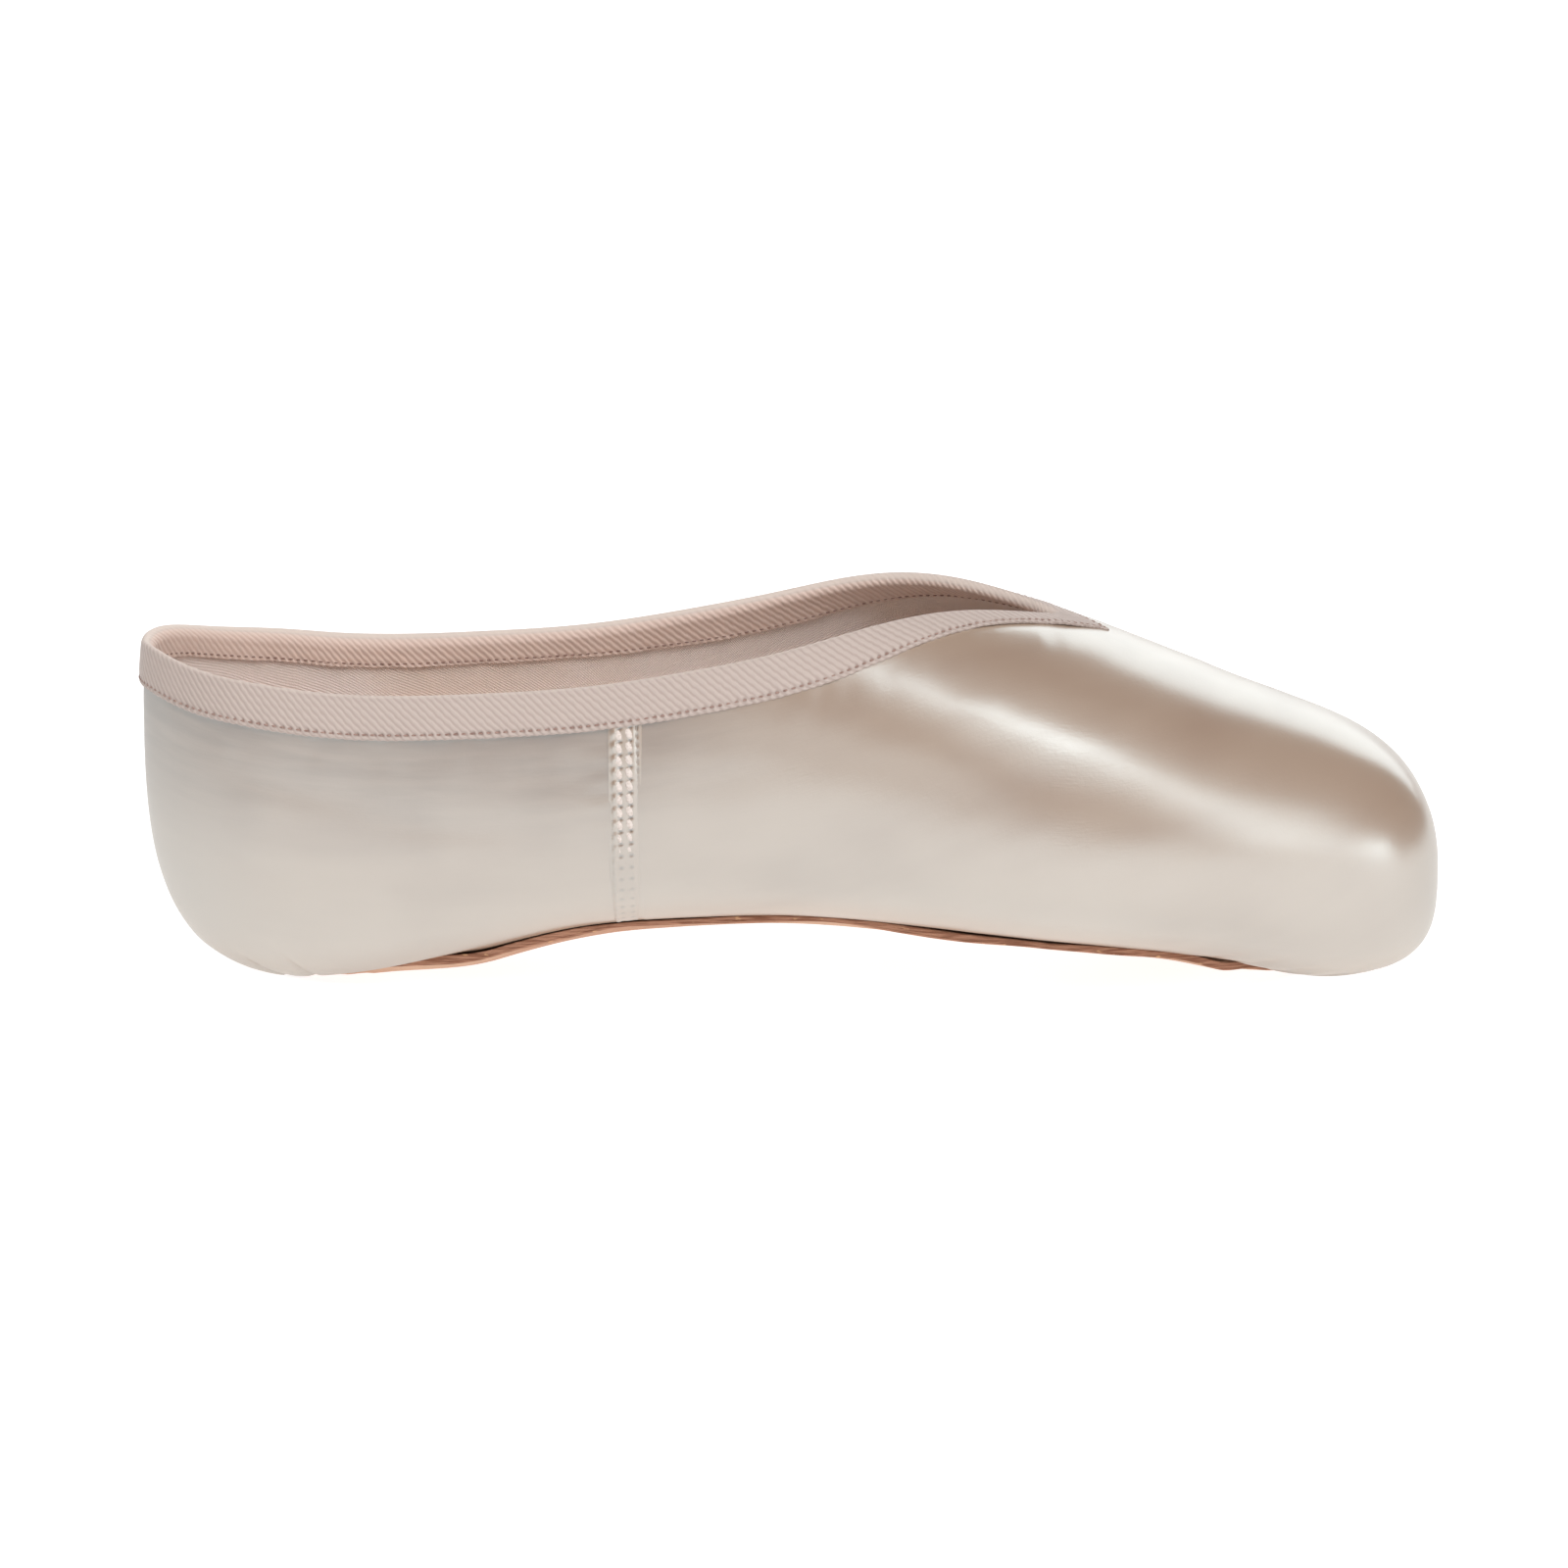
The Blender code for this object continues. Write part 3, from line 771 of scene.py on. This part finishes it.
def makeSock():
    finish = Finish("sockCotton", gloss=0.25, roughness=0.85, sheen=0.1, sheenRoughness=0.5)
    place = finish.objectPlace()
    x, y, _ = finish.parts(place)
    turn = 2 * math.pi / sockLook["pitch"]
    weave = (x * turn).sine() * (y * turn).sine()
    patches = finish.noise(place, 40, 3)
    colour = finish.blend(patches.between(0.4, 0.7), sockLook["body"], sockLook["worn"])
    return finish.feed(colour=colour, normal=finish.bump(weave, sockLook["relief"]))


threadLook = {
    "seam": (tone(226, 214, 207), tone(208, 194, 185)),
    "tape": (tone(166, 138, 127), tone(138, 110, 100)),
    "relief": 0.00006,
}


def makeThread(name, colour, shade):
    finish = Finish(name, gloss=0.4, roughness=0.58, sheen=0.2, sheenRoughness=0.4)
    twist = finish.noise(finish.objectPlace(), 2400, 2)
    return finish.feed(
        colour=finish.blend(twist.between(0.35, 0.7), colour, shade),
        normal=finish.bump(twist, threadLook["relief"]),
    )


satin, canvas, tape = makeSatin(), makeCanvas(), makeTape()
leather, sock = makeLeather(), makeSock()
seamThread = makeThread("seamThread", *threadLook["seam"])
tapeThread = makeThread("tapeThread", *threadLook["tape"])
print("materials ready")

# The upper: satin outside, canvas inside, with the pleats that gather it under the toe

upper = {
    "heelColumns": 56,
    "sideColumns": 116,
    "toeColumns": 76,
    "outerRows": 84,
    "innerRows": 40,
    "panelStep": 0.00022,  # the vamp lies over the quarter, ahead of the seam
    "panelEdge": (0.0022, 0.0027),
    "drape": 0.00016,
    "toePleat": 0.0017,
    "heelPleat": 0.0010,
    "pleatPitch": 0.0058,
    "pleatReach": 0.017,
    "toePleats": (0.80, 0.87),  # shares of the length between which the pleats deepen
    "heelPleats": (0.10, 0.16),
    "pucker": 0.00012,  # along the tape
    "puckerDown": 0.009,
    "pull": 0.00022,  # the tape draws the quarter in below it
    "pullReach": 0.024,
    "pullFade": (0.090, 0.110),
    "dulledPaintedShadeReach": 0.034,  # how far down the quarter's satin is slack and dull, and painted darker as shade
    "dulledPaintedShadeFade": (0.085, 0.125),
    "tuck": 0.00006,  # small tucks behind the seam
    "tuckPitch": 0.0047,
    "tuckBehind": 0.0046,
    "tuckDown": 0.019,
    # Soft troughs of the quarter and vamp: along, down from the collar, half length, half width, depth
    "creases": (
        (0.060, 0.024, 0.016, 0.0030, 0.00030),
        (0.034, 0.018, 0.014, 0.0035, 0.00025),
        (0.082, 0.016, 0.010, 0.0040, 0.00025),
        (0.024, 0.034, 0.010, 0.0035, 0.00020),
        (0.108, 0.020, 0.012, 0.0040, 0.00015),
    ),
}


# How far the satin lies under the plain form: plus is inwards
def satinRelief(along, way, fromSole, edgePath):
    relief = upper["drape"] * ripple(way + 0.15 * along, 0.034, 3) * ripple(along, 0.09, 5)
    for at, down, halfLength, halfHeight, depth in upper["creases"]:
        lean = 0.08 * (along - at)
        relief = relief + depth * swell(along - at, halfLength) * swell(way - down - lean, halfHeight)
    relief = relief + upper["pucker"] * ripple(along, 0.011, 8) * swell(way - upper["puckerDown"], 0.004)
    ahead = along - cloth["seamAlong"]
    tucks = swell(ahead + upper["tuckBehind"], 0.0020) * swell(way - upper["tuckDown"], 0.009)
    relief = relief + upper["tuck"] * tucks * np.cos(2 * math.pi * way / upper["tuckPitch"])
    pull = 1 - smoothStep(way, cloth["tapeOuter"] - 0.002, upper["pullReach"])
    relief = relief + upper["pull"] * pull * (1 - smoothStep(along, *upper["pullFade"]))
    relief = relief - upper["panelStep"] * smoothStep(ahead, *upper["panelEdge"])
    relief = relief * smoothStep(way, 0.004, cloth["tapeOuter"])  # flat where the tape covers it
    # Pleats: sharp valleys that run out from the sole's ends
    wave = np.abs(np.sin(math.pi * edgePath / upper["pleatPitch"] + 0.4 * ripple(edgePath, 0.02, 12)))
    valley = (1 - wave) ** 2.2
    toe = upper["toePleat"] * smoothStep(along, *ofLength(upper["toePleats"]))
    heel = upper["heelPleat"] * (1 - smoothStep(along, *ofLength(upper["heelPleats"])))
    near = (1 - smoothStep(fromSole, 0.002, upper["pleatReach"])) * (0.8 + 0.2 * ripple(edgePath, 0.013, 4))
    return relief + (toe + heel) * valley * near


def buildUpper():
    chart = Chart(planesAround(upper["heelColumns"], upper["sideColumns"], upper["toeColumns"]))
    planes = chart.planes
    tilts = chart.rows(upper["outerRows"])
    plain = cast(planes, tilts, 0.0)
    way = chart.wayAt(tilts)
    fromSole = way[:, -1:] - way
    edgeAlong, edgeSide = placeOut(planes, chart.edge)
    edgePath = pathLength(np.column_stack([edgeAlong, edgeSide]))[:, None] + 0 * way
    dents = satinRelief(plain[:, :, 0], way, fromSole, edgePath)
    outer = cast(planes, tilts, dents)
    outer[:, :, 2] = np.maximum(outer[:, :, 2], np.clip(dents, 0, None))

    lips = []
    for share in np.linspace(0.2, 1, 5):  # the underside rolls up beside the sole
        along, side = placeOut(planes, chart.footReach - cloth["recessRoll"] * share)
        lift = recess(along) * smoothStep(share, 0, 1) + np.clip(dents[:, -1], 0, None)
        lips.append(np.column_stack([along, side, floorHeight(along, side, 0.0) + lift]))
    lips.append(overSole(planes, chart.edge - cloth["soleLap"], 0.0))

    reach = chart.footReach + chart.footWall
    foot = floorHeight(*placeOut(planes, reach), chart.footWall)
    innerFoot = np.arctan2(foot - postHeight, reach)
    innerTilts = chart.rows(upper["innerRows"])
    share = (innerTilts - innerTilts[:, :1]) / (innerTilts[:, -1:] - innerTilts[:, :1])
    outside = cast(planes, innerTilts, 0.0)
    thickness = wallAt(outside[:, :, 0], chart.wayAt(innerTilts))
    innerTilts = innerTilts[:, :1] + (innerFoot[:, None] - innerTilts[:, :1]) * share
    inner = cast(planes, innerTilts, thickness)
    inner[:, :, 2] = np.maximum(inner[:, :, 2], thickness)
    laps = (chart.edge - cloth["soleLap"], chart.edge + cloth["soleSideGap"])
    floorRows = [overSole(planes, lap, chart.footWall) for lap in laps]
    places = np.concatenate([
        outer, np.stack(lips, axis=1), np.stack(floorRows, axis=1), inner[:, ::-1], outer[:, :1]
    ], axis=1)
    firstInner = outer.shape[1] + len(lips)
    # The quarter's satin below the tape: dulled, and painted darker as shade
    slackAndPaintedShade = np.zeros(places.shape[:2])
    uneven = way + 0.002 * ripple(plain[:, :, 0], 0.03, 9)
    slackAndPaintedShade[:, : outer.shape[1]] = (1 - smoothStep(uneven, cloth["tapeOuter"], upper["dulledPaintedShadeReach"])) * (
        1 - smoothStep(plain[:, :, 0], *upper["dulledPaintedShadeFade"])
    )
    piece = layGrid(
        "satinUpper", places, clothLengths(places, upper["outerRows"] // 2), {"slackAndPaintedShade": slackAndPaintedShade},
        lining=(firstInner - 1, places.shape[1] - 2),
    )
    return settle(piece, ["upper"], "satin", satin, canvas)


buildUpper()
print("upper laid")

# The outsole: a leather sole with a hand-cut, slightly uneven edge

outsole = {
    "columns": (60, 150, 80),
    "bevel": 0.00035,
    "lift": 0.00012,  # air between upper and leather
    "spare": 0.0001,  # how much thinner the leather is than its room
    "wobble": 0.00021,  # of the cut edge, sideways
    "farTrim": 0.00025,  # off the far side's edge
    "unevenness": 0.00022,
    "skive": 0.0070,  # how far in from the edge the leather reaches its full thickness
    "gapReach": 0.010,  # how far in from the edge the gaps close
    "rim": 0.0040,  # how far in the rim's own rows begin
    # How thick the near side's edge was left: along, thickness
    "cut": (
        (0.036, 0.0016), (0.045, 0.0014), (0.056, 0.0018), (0.066, 0.0015), (0.076, 0.0017), (0.082, 0.0014),
        (0.088, 0.0009), (0.094, 0.0010), (0.103, 0.0011), (0.110, 0.0014), (0.121, 0.0011), (0.130, 0.0010),
        (0.136, 0.0014), (0.155, 0.0015), (0.168, 0.0012), (0.180, 0.0015), (0.191, 0.0013), (0.199, 0.0016),
        (0.206, 0.0015), (0.211, 0.0018), (0.215, 0.0016),
    ),
    # Places where the leather stands off the satin: along, half length, gap; on both sides
    "gaps": (
        (0.153, 0.012, 0.00045), (0.168, 0.006, 0.00030), (0.199, 0.004, 0.00060), (0.2080, 0.003, 0.00055),
        (0.062, 0.006, 0.00030), (0.100, 0.009, 0.00015),
    ),
}


def buildOutsole():
    chart = Chart(planesAround(*outsole["columns"]))
    planes = chart.planes
    edgeAlong, edgeSide = placeOut(planes, chart.edge)
    path = pathLength(np.column_stack([edgeAlong, edgeSide]))
    edge = chart.edge + outsole["wobble"] * ripple(path, 0.021, 21)
    full = cloth["soleThickness"] - outsole["spare"]
    cutRows = np.array(outsole["cut"])
    near = naturalSpline(cutRows[:, 0], cutRows[:, 1])(edgeAlong)
    far = full - outsole["farTrim"] + outsole["unevenness"] * ripple(path, 0.030, 22)
    rimThick = np.where(planes[:, 1] < 0, near, far)
    ends = smoothStep(np.abs(edgeSide), 0.002, 0.008)  # both sides meet at the ends
    rimThick = full + (rimThick - full) * ends
    gap = outsole["lift"] + 0 * path
    for at, halfLength, depth in outsole["gaps"]:
        gap = gap + depth * swell(edgeAlong - at, halfLength)
    bevel = outsole["bevel"]
    # Each row: share of the way out or distance in from the edge, depth, then level from top 0 to bottom 1
    top = [("share", s, 0) for s in (0, 0.3, 0.6, 0.85)] + [("rim", 0.0030, 0), ("rim", 0.0015, 0)]
    for t in np.linspace(0, math.pi / 2, 4):
        top.append(("rim", bevel * (1 - math.sin(t)), bevel * (1 - math.cos(t))))
    rows = [(*row, 0) for row in top]
    rows += [("rim", 0.00004, 0, 0.25), ("rim", -0.00004, 0, 0.5), ("rim", 0.00008, 0, 0.75)]
    rows += [(kind, amount, -depth, 1) for kind, amount, depth in reversed(top)]
    profiles, cut = [], []
    for kind, amount, depth, level in rows:
        reach = (edge - outsole["rim"]) * amount if kind == "share" else edge - amount
        along, side = placeOut(planes, reach)
        seat = floorHeight(along, side, 0.0) + recess(along)
        near = 1 - smoothStep(edge - reach, 0.0, outsole["gapReach"])
        thick = full + (rimThick - full) * (1 - smoothStep(edge - reach, 0.0015, outsole["skive"]))
        height = seat - gap * near - depth - thick * level
        lowest = (1 - level) * (full - 2 * outsole["spare"]) - depth
        profiles.append(np.column_stack([along, side, np.maximum(height, lowest)]))
        isCut = kind == "rim" and (0 < level < 1 or 0 <= amount < bevel * 0.9)
        cut.append(np.full(len(planes), float(isCut)))
    places = np.stack(profiles, axis=1)
    piece = layGrid("soleLeather", places, clothLengths(places, 8), {"cutEdge": np.stack(cut, axis=1)})
    return settle(piece, ["outsole"], "sole_leather", leather)


buildOutsole()
print("outsole laid")

# The sock inside

insole = {
    "columns": (44, 90, 50),
    "thickness": 0.0013,
    "overreach": 0.0005,
    "round": 0.0005,
    "quilt": 0.00012,
}


def buildSock():
    chart = Chart(planesAround(*insole["columns"]))
    planes = chart.planes
    lap = chart.edge - cloth["soleLap"]
    rim = chart.edge + cloth["soleSideGap"] + insole["overreach"]
    thick, soft = insole["thickness"], insole["round"]
    outline = [(lap * s, 1) for s in (0, 0.25, 0.5, 0.75, 1)] + [(lap + (rim - lap) * 0.6, 1)]
    for t in np.linspace(0, math.pi, 7):
        outline.append((rim - soft * (1 - math.sin(t)), 0.5 + 0.5 * math.cos(t)))
    outline += [(lap * s, 0) for s in (1, 0.5, 0)]
    profiles = []
    for reach, level in outline:
        quilt = insole["quilt"] * ripple(placeOut(planes, reach)[0], 0.03, 31)
        rise = cloth["gap"] + (thick + quilt) * level
        profiles.append(overSole(planes, reach, chart.footWall, rise))
    places = np.stack(profiles, axis=1)
    piece = layGrid("sockLining", places, clothLengths(places, 6))
    return settle(piece, ["insole"], "sock_lining", sock)


buildSock()
print("sock laid")

# The binding: twill tape folded over the collar, sewn through near its lower edge

binding = {
    "columns": (150, 270, 150),
    "thickness": 0.0006,
    "seat": 0.00015,  # air between the tape and the wall
    "foldHeight": 0.00095,
    "stitchUp": 0.0009,  # stitch line above the outer leaf's edge
    "stepUp": 0.0008,  # to a second line, which tells which way a stitch faces
    "stitchPitch": 0.0015,
    "stitchSize": (0.00085, 0.00038, 0.00030),
    "scallop": 0.00016,
    "groove": 0.00016,  # under the stitches
    "grooveReach": 0.0005,
    "lips": {1.0: -0.00030, 0.97: -0.00006, 0.96: -0.00006},  # the leaves' edges turn in
    "outerShares": (1.0, 0.97, 0.94, 0.905, 0.87, 0.835, 0.79, 0.7, 0.55, 0.4, 0.25, 0.12, 0.04, 0),
    "innerShares": (0, 0.15, 0.35, 0.55, 0.72, 0.82, 0.9, 0.96, 1.0),
    "armEnd": 0.655,  # share of the length up to which the collar's arms are straight
    "armReach": 0.030,
    "tipNarrowing": 0.0038,
    "tipFade": (0.52, 0.70),  # shares of the length
    "wave": 0.00012,
    "innerRear": 0.0040,  # height of the inner leaf round the heel
    "innerFade": (0.070, 0.120),
}


# How far down each plane the outer leaf reaches: as wide everywhere, with a mitred point before the V's tip
def outerLeaf(chart):
    planes = chart.planes
    steps = np.linspace(0, 0.022, 56)
    paths = np.stack([cast(planes, chart.down(step), 0.0) for step in steps], axis=1)
    collar = paths[:, 0]
    nearTip = smoothStep(collar[:, 0], *ofLength(binding["tipFade"]))
    width = cloth["tapeOuter"] - binding["tipNarrowing"] * nearTip
    leaf = np.empty(len(planes))
    for side in (-1, 1):
        own = np.where(planes[:, 1] * side >= -1e-9)[0]
        arm = collar[own][collar[own][:, 0] < binding["armEnd"] * length]
        arm = arm[np.argsort(arm[:, 0])]
        slope = arm[-1] - arm[-6]
        arm = np.vstack([arm, arm[-1] + slope / np.linalg.norm(slope) * binding["armReach"]])
        starts, spans = arm[:-1], np.diff(arm, axis=0)
        spanSquares = np.maximum((spans**2).sum(axis=1), 1e-12)
        for i in own:
            apart = paths[i][:, None] - starts
            share = np.clip((apart * spans).sum(axis=2) / spanSquares, 0, 1)
            away = np.linalg.norm(apart - share[:, :, None] * spans, axis=2).min(axis=1)
            leaf[i] = np.interp(width[i], np.maximum.accumulate(away), steps)
    return leaf


# The tape's section, row by row: outward from the wall, share of the leaf, which leaf, fold mark
def tapeSection(gap, face):
    rows = []
    for leafName, shares, width, depth in (
        ("outer", binding["outerShares"], cloth["tapeOuter"], binding["groove"]),
        ("inner", binding["innerShares"], cloth["tapeInner"], binding["groove"] * 0.6),
    ):
        for share in shares:
            trough = depth * swell((1 - share) * width - binding["stitchUp"], binding["grooveReach"])
            rows.append((face + binding["lips"].get(share, 0) - trough, share, leafName, 0))
        if leafName == "outer":
            radius = cloth["collarWall"] / 2 + face
            for t in np.linspace(0, math.pi, 9)[1:-1]:
                outward = radius * math.cos(t) - cloth["collarWall"] / 2
                rows.append((outward, -binding["foldHeight"] * math.sin(t), "fold", math.sin(t)))
    rows += [(gap, share, "inner", 0) for share in (0.99, 0.5, 0)]
    return rows + [(gap, share, "outer", 0) for share in (0, 0.5, 0.99)]


def tapeStitches(name, chart, down, off, count, isInner):
    line = cast(chart.planes, chart.down(down), -off)
    above = cast(chart.planes, chart.down(down - binding["stepUp"]), -off)
    at = pathLength(line)
    spots = np.linspace(0, at[-1], count + 1)[:-1] + at[-1] / count / 2
    reach = binding["stitchSize"][0] / 2

    def along(curve, where):
        return np.column_stack([np.interp(where, at, curve[:, k]) for k in range(3)])

    starts, ends, middle = along(line, spots - reach), along(line, spots + reach), along(line, spots)
    outward = np.cross(ends - starts, along(above, spots) - middle)
    shoeMiddle = np.column_stack([np.clip(middle[:, 0], 0.04, 0.17), 0 * spots, middle[:, 2]])
    facing = np.sign((outward * (middle - shoeMiddle)).sum(axis=1)) * (-1 if isInner else 1)
    frames = stitchFrames(starts, ends, outward * facing[:, None])
    settle(sew(name, frames, binding["stitchSize"]), ["binding"], "twill_tape", tapeThread)


def buildBinding():
    chart = Chart(planesAround(*binding["columns"]))
    planes = chart.planes
    gap = binding["seat"]
    face = gap + binding["thickness"]
    leaf = outerLeaf(chart)
    collarAlong = placeOut(planes, chart.collarReach)[0]
    innerLeaf = binding["innerRear"] + (cloth["tapeInner"] - binding["innerRear"]) * smoothStep(
        collarAlong, *binding["innerFade"]
    )
    path = pathLength(cast(planes, chart.down(leaf - binding["stitchUp"]), 0.0))
    count = int(round(path[-1] / binding["stitchPitch"]))
    beat = 2 * math.pi * count * path / path[-1]
    scallop = binding["scallop"] * (np.cos(beat) * 0.5 - 0.5)
    wave = binding["wave"] * ripple(path, 0.016, 41)
    # Dark round each stitch's middle: painted shade in the groove under the stitch line
    stitchHolesAndPaintedShade = np.clip(np.cos(beat + math.pi), 0, 1) ** 3
    plain = np.zeros(len(planes))

    profiles, inside, fold, stitchHoleAndPaintedShade = [], [], [], []
    for outward, share, part, folded in tapeSection(gap, face):
        isInward = part == "inner" or outward < -cloth["collarWall"] / 2
        if part == "fold":
            down, off = plain + share, plain + outward
        elif part == "inner":
            down = (innerLeaf + scallop * 0.8) * share
            off = -(wallAt(planes[:, 0], np.maximum(down, 0)) + outward + wave * share)
        else:
            down = (leaf + scallop * smoothStep(share, 0.8, 1)) * share
            off = outward + wave * share
        stitched = swell(leaf * (1 - share) - binding["stitchUp"], 0.00035) if part == "outer" else 0
        profiles.append(cast(planes, chart.down(down), -off))
        # The inside mark: where the tape's finish paints light against the collar's shade
        inside.append(plain + isInward)
        fold.append(plain + folded ** (14 if isInward else 1.2))  # the painted highlight's mark fades at once inside
        stitchHoleAndPaintedShade.append(plain + stitchHolesAndPaintedShade * stitched)
    for rows in (profiles, inside, fold, stitchHoleAndPaintedShade):
        rows.append(rows[0])
    places = np.stack(profiles, axis=1)
    marks = {"insideLeaf": inside, "fold": fold, "stitchHoleAndPaintedShade": stitchHoleAndPaintedShade}
    marks = {title: np.stack(rows, axis=1) for title, rows in marks.items()}
    piece = layGrid("collarTape", places, clothLengths(places, 10), marks)
    settle(piece, ["binding"], "twill_tape", tape)

    down = leaf - binding["stitchUp"]
    off = plain + face - binding["groove"] * 0.7
    tapeStitches("tapeStitchesOuter", chart, down, off, count, False)
    down = innerLeaf - binding["stitchUp"]
    off = -(wallAt(planes[:, 0], down) + face - binding["groove"] * 0.4)
    tapeStitches("tapeStitchesInner", chart, down, off, count, True)
    print("binding laid,", count, "stitches a leaf")


buildBinding()

# The side seams: quarter and vamp joined under two rows of slanted stitches, a folded edge in front

seam = {
    "columns": 63,
    "rowsDown": 240,
    "margin": 0.0006,  # of cloth beyond the seam on each side
    "underTape": 0.0008,
    "aboveSole": 0.0004,
    "lift": 0.00042,
    "seat": 0.00006,  # how far the whole seam is pressed in
    "underside": 0.00030,
    "foldAt": (0.0020, 0.0028),  # the folded edge at the top and at the bottom, in front of the middle
    "foldWidth": 0.00022,
    "rows": (-0.0013, 0.0006),  # rows of stitches, from the middle
    "pitch": 0.00235,
    "lean": 0.00065,
    "threadSize": (0.00200, 0.00140, 0.00062),
    "threadSink": 0.00042,  # towards the sole
    "threadEnds": 0.0003,  # how much shorter than the pitch a stitch is at each end
    "firstStitch": 0.0009,
    "stitchRoom": 0.0012,  # what the rows leave free at their ends
    "dimple": 0.00026,
    "puff": 0.00034,
    "fade": (0.022, 0.042),  # the stitches sink and fade over this way down
}


def buildSeam(name, nodeName, side):
    across = np.linspace(-0.5, 0.5, seam["columns"]) * (cloth["seamWidth"] + 2 * seam["margin"])
    planes = np.column_stack([cloth["seamAlong"] + across, np.full(len(across), side * math.pi / 2)])
    chart = Chart(planes)
    first, bottom = cloth["tapeOuter"] - seam["underTape"], chart.way[:, -1].min() - seam["aboveSole"]
    downs = np.linspace(first, bottom, seam["rowsDown"])
    half = cloth["seamWidth"] / 2
    rise = smoothStep(across, -half - 0.0005, -half + 0.0007)
    rise = rise * (1 - 0.7 * smoothStep(across, 0.0012, 0.0020))
    rise = rise * (1 - smoothStep(across, half + 0.0002, half + 0.0006))
    count = int((bottom - first - seam["stitchRoom"]) / seam["pitch"])
    tops = first + seam["firstStitch"] + seam["pitch"] * np.arange(count)
    rows, stitchHolesAndPaintedShade = [], []
    for down in downs:
        beat = 2 * math.pi * (down - tops[0]) / seam["pitch"]
        fade = 1 - 0.55 * smoothStep(down, *seam["fade"])
        fold = np.interp(down, (first, bottom), seam["foldAt"])
        line = swell(across - fold, seam["foldWidth"]) * (0.7 + 0.3 * math.cos(beat * 1.5))
        dots = 0
        for at in seam["rows"]:
            beside = swell(across - at - 0.0002, 0.00042)
            dots = dots + beside * np.clip(np.cos(beat), 0, 1) ** 2 * fade
        puff = swell(across + half - 0.0004, 0.0005) * (0.75 - 0.35 * np.cos(beat + 0.8)) * fade
        off = seam["lift"] * rise + seam["puff"] * puff - seam["dimple"] * (dots + line) - seam["seat"]
        rows.append(cast(planes, chart.down(down), -off))
        # Stitch holes and painted shade in the dimples beside the stitches and along the folded edge
        stitchHolesAndPaintedShade.append(np.clip(dots * 0.8 + line * 0.5, 0, 1))
    top = np.stack(rows, axis=1)
    under = [cast(planes, chart.down(d), seam["underside"] + 0 * across) for d in downs[::-10]]
    places = np.concatenate([top, np.stack(under, axis=1), top[:, :1]], axis=1)
    stitchHoleAndPaintedShade = np.zeros(places.shape[:2])
    stitchHoleAndPaintedShade[:, : len(downs)] = np.stack(stitchHolesAndPaintedShade, axis=1)
    piece = layGrid(name, places, clothLengths(places, 60), {"stitchHoleAndPaintedShade": stitchHoleAndPaintedShade})
    bpy.ops.object.mode_set(mode="EDIT")
    bpy.ops.mesh.select_all(action="DESELECT")
    bpy.ops.mesh.select_non_manifold()
    bpy.ops.mesh.edge_face_add()
    bpy.ops.mesh.select_all(action="SELECT")
    bpy.ops.mesh.normals_make_consistent(inside=False)
    bpy.ops.object.mode_set(mode="OBJECT")
    settle(piece, [nodeName], "satin", satin)

    def spot(place, down):
        sink = seam["threadSink"] * smoothStep(down, *seam["fade"])
        cover = cast(planes, chart.down(down), sink - seam["lift"] * 0.6 + 0 * across)
        return [np.interp(place, across, cover[:, k]) for k in range(3)]

    lean, short = seam["lean"] / 2, seam["threadEnds"]
    stitches = [(at, down) for at in seam["rows"] for down in tops]
    starts = [spot(at - lean, down + short) for at, down in stitches]
    ends = [spot(at + lean, down + seam["pitch"] - short) for at, down in stitches]
    outward = np.tile((0.0, side, 0.15), (len(starts), 1))
    frames = stitchFrames(np.array(starts), np.array(ends), outward)
    settle(sew(name + "Stitches", frames, seam["threadSize"]), [nodeName], "satin", seamThread)


buildSeam("seamRight", "side_seam_right", -1)
buildSeam("seamLeft", "side_seam_left", 1)
print("seams laid")
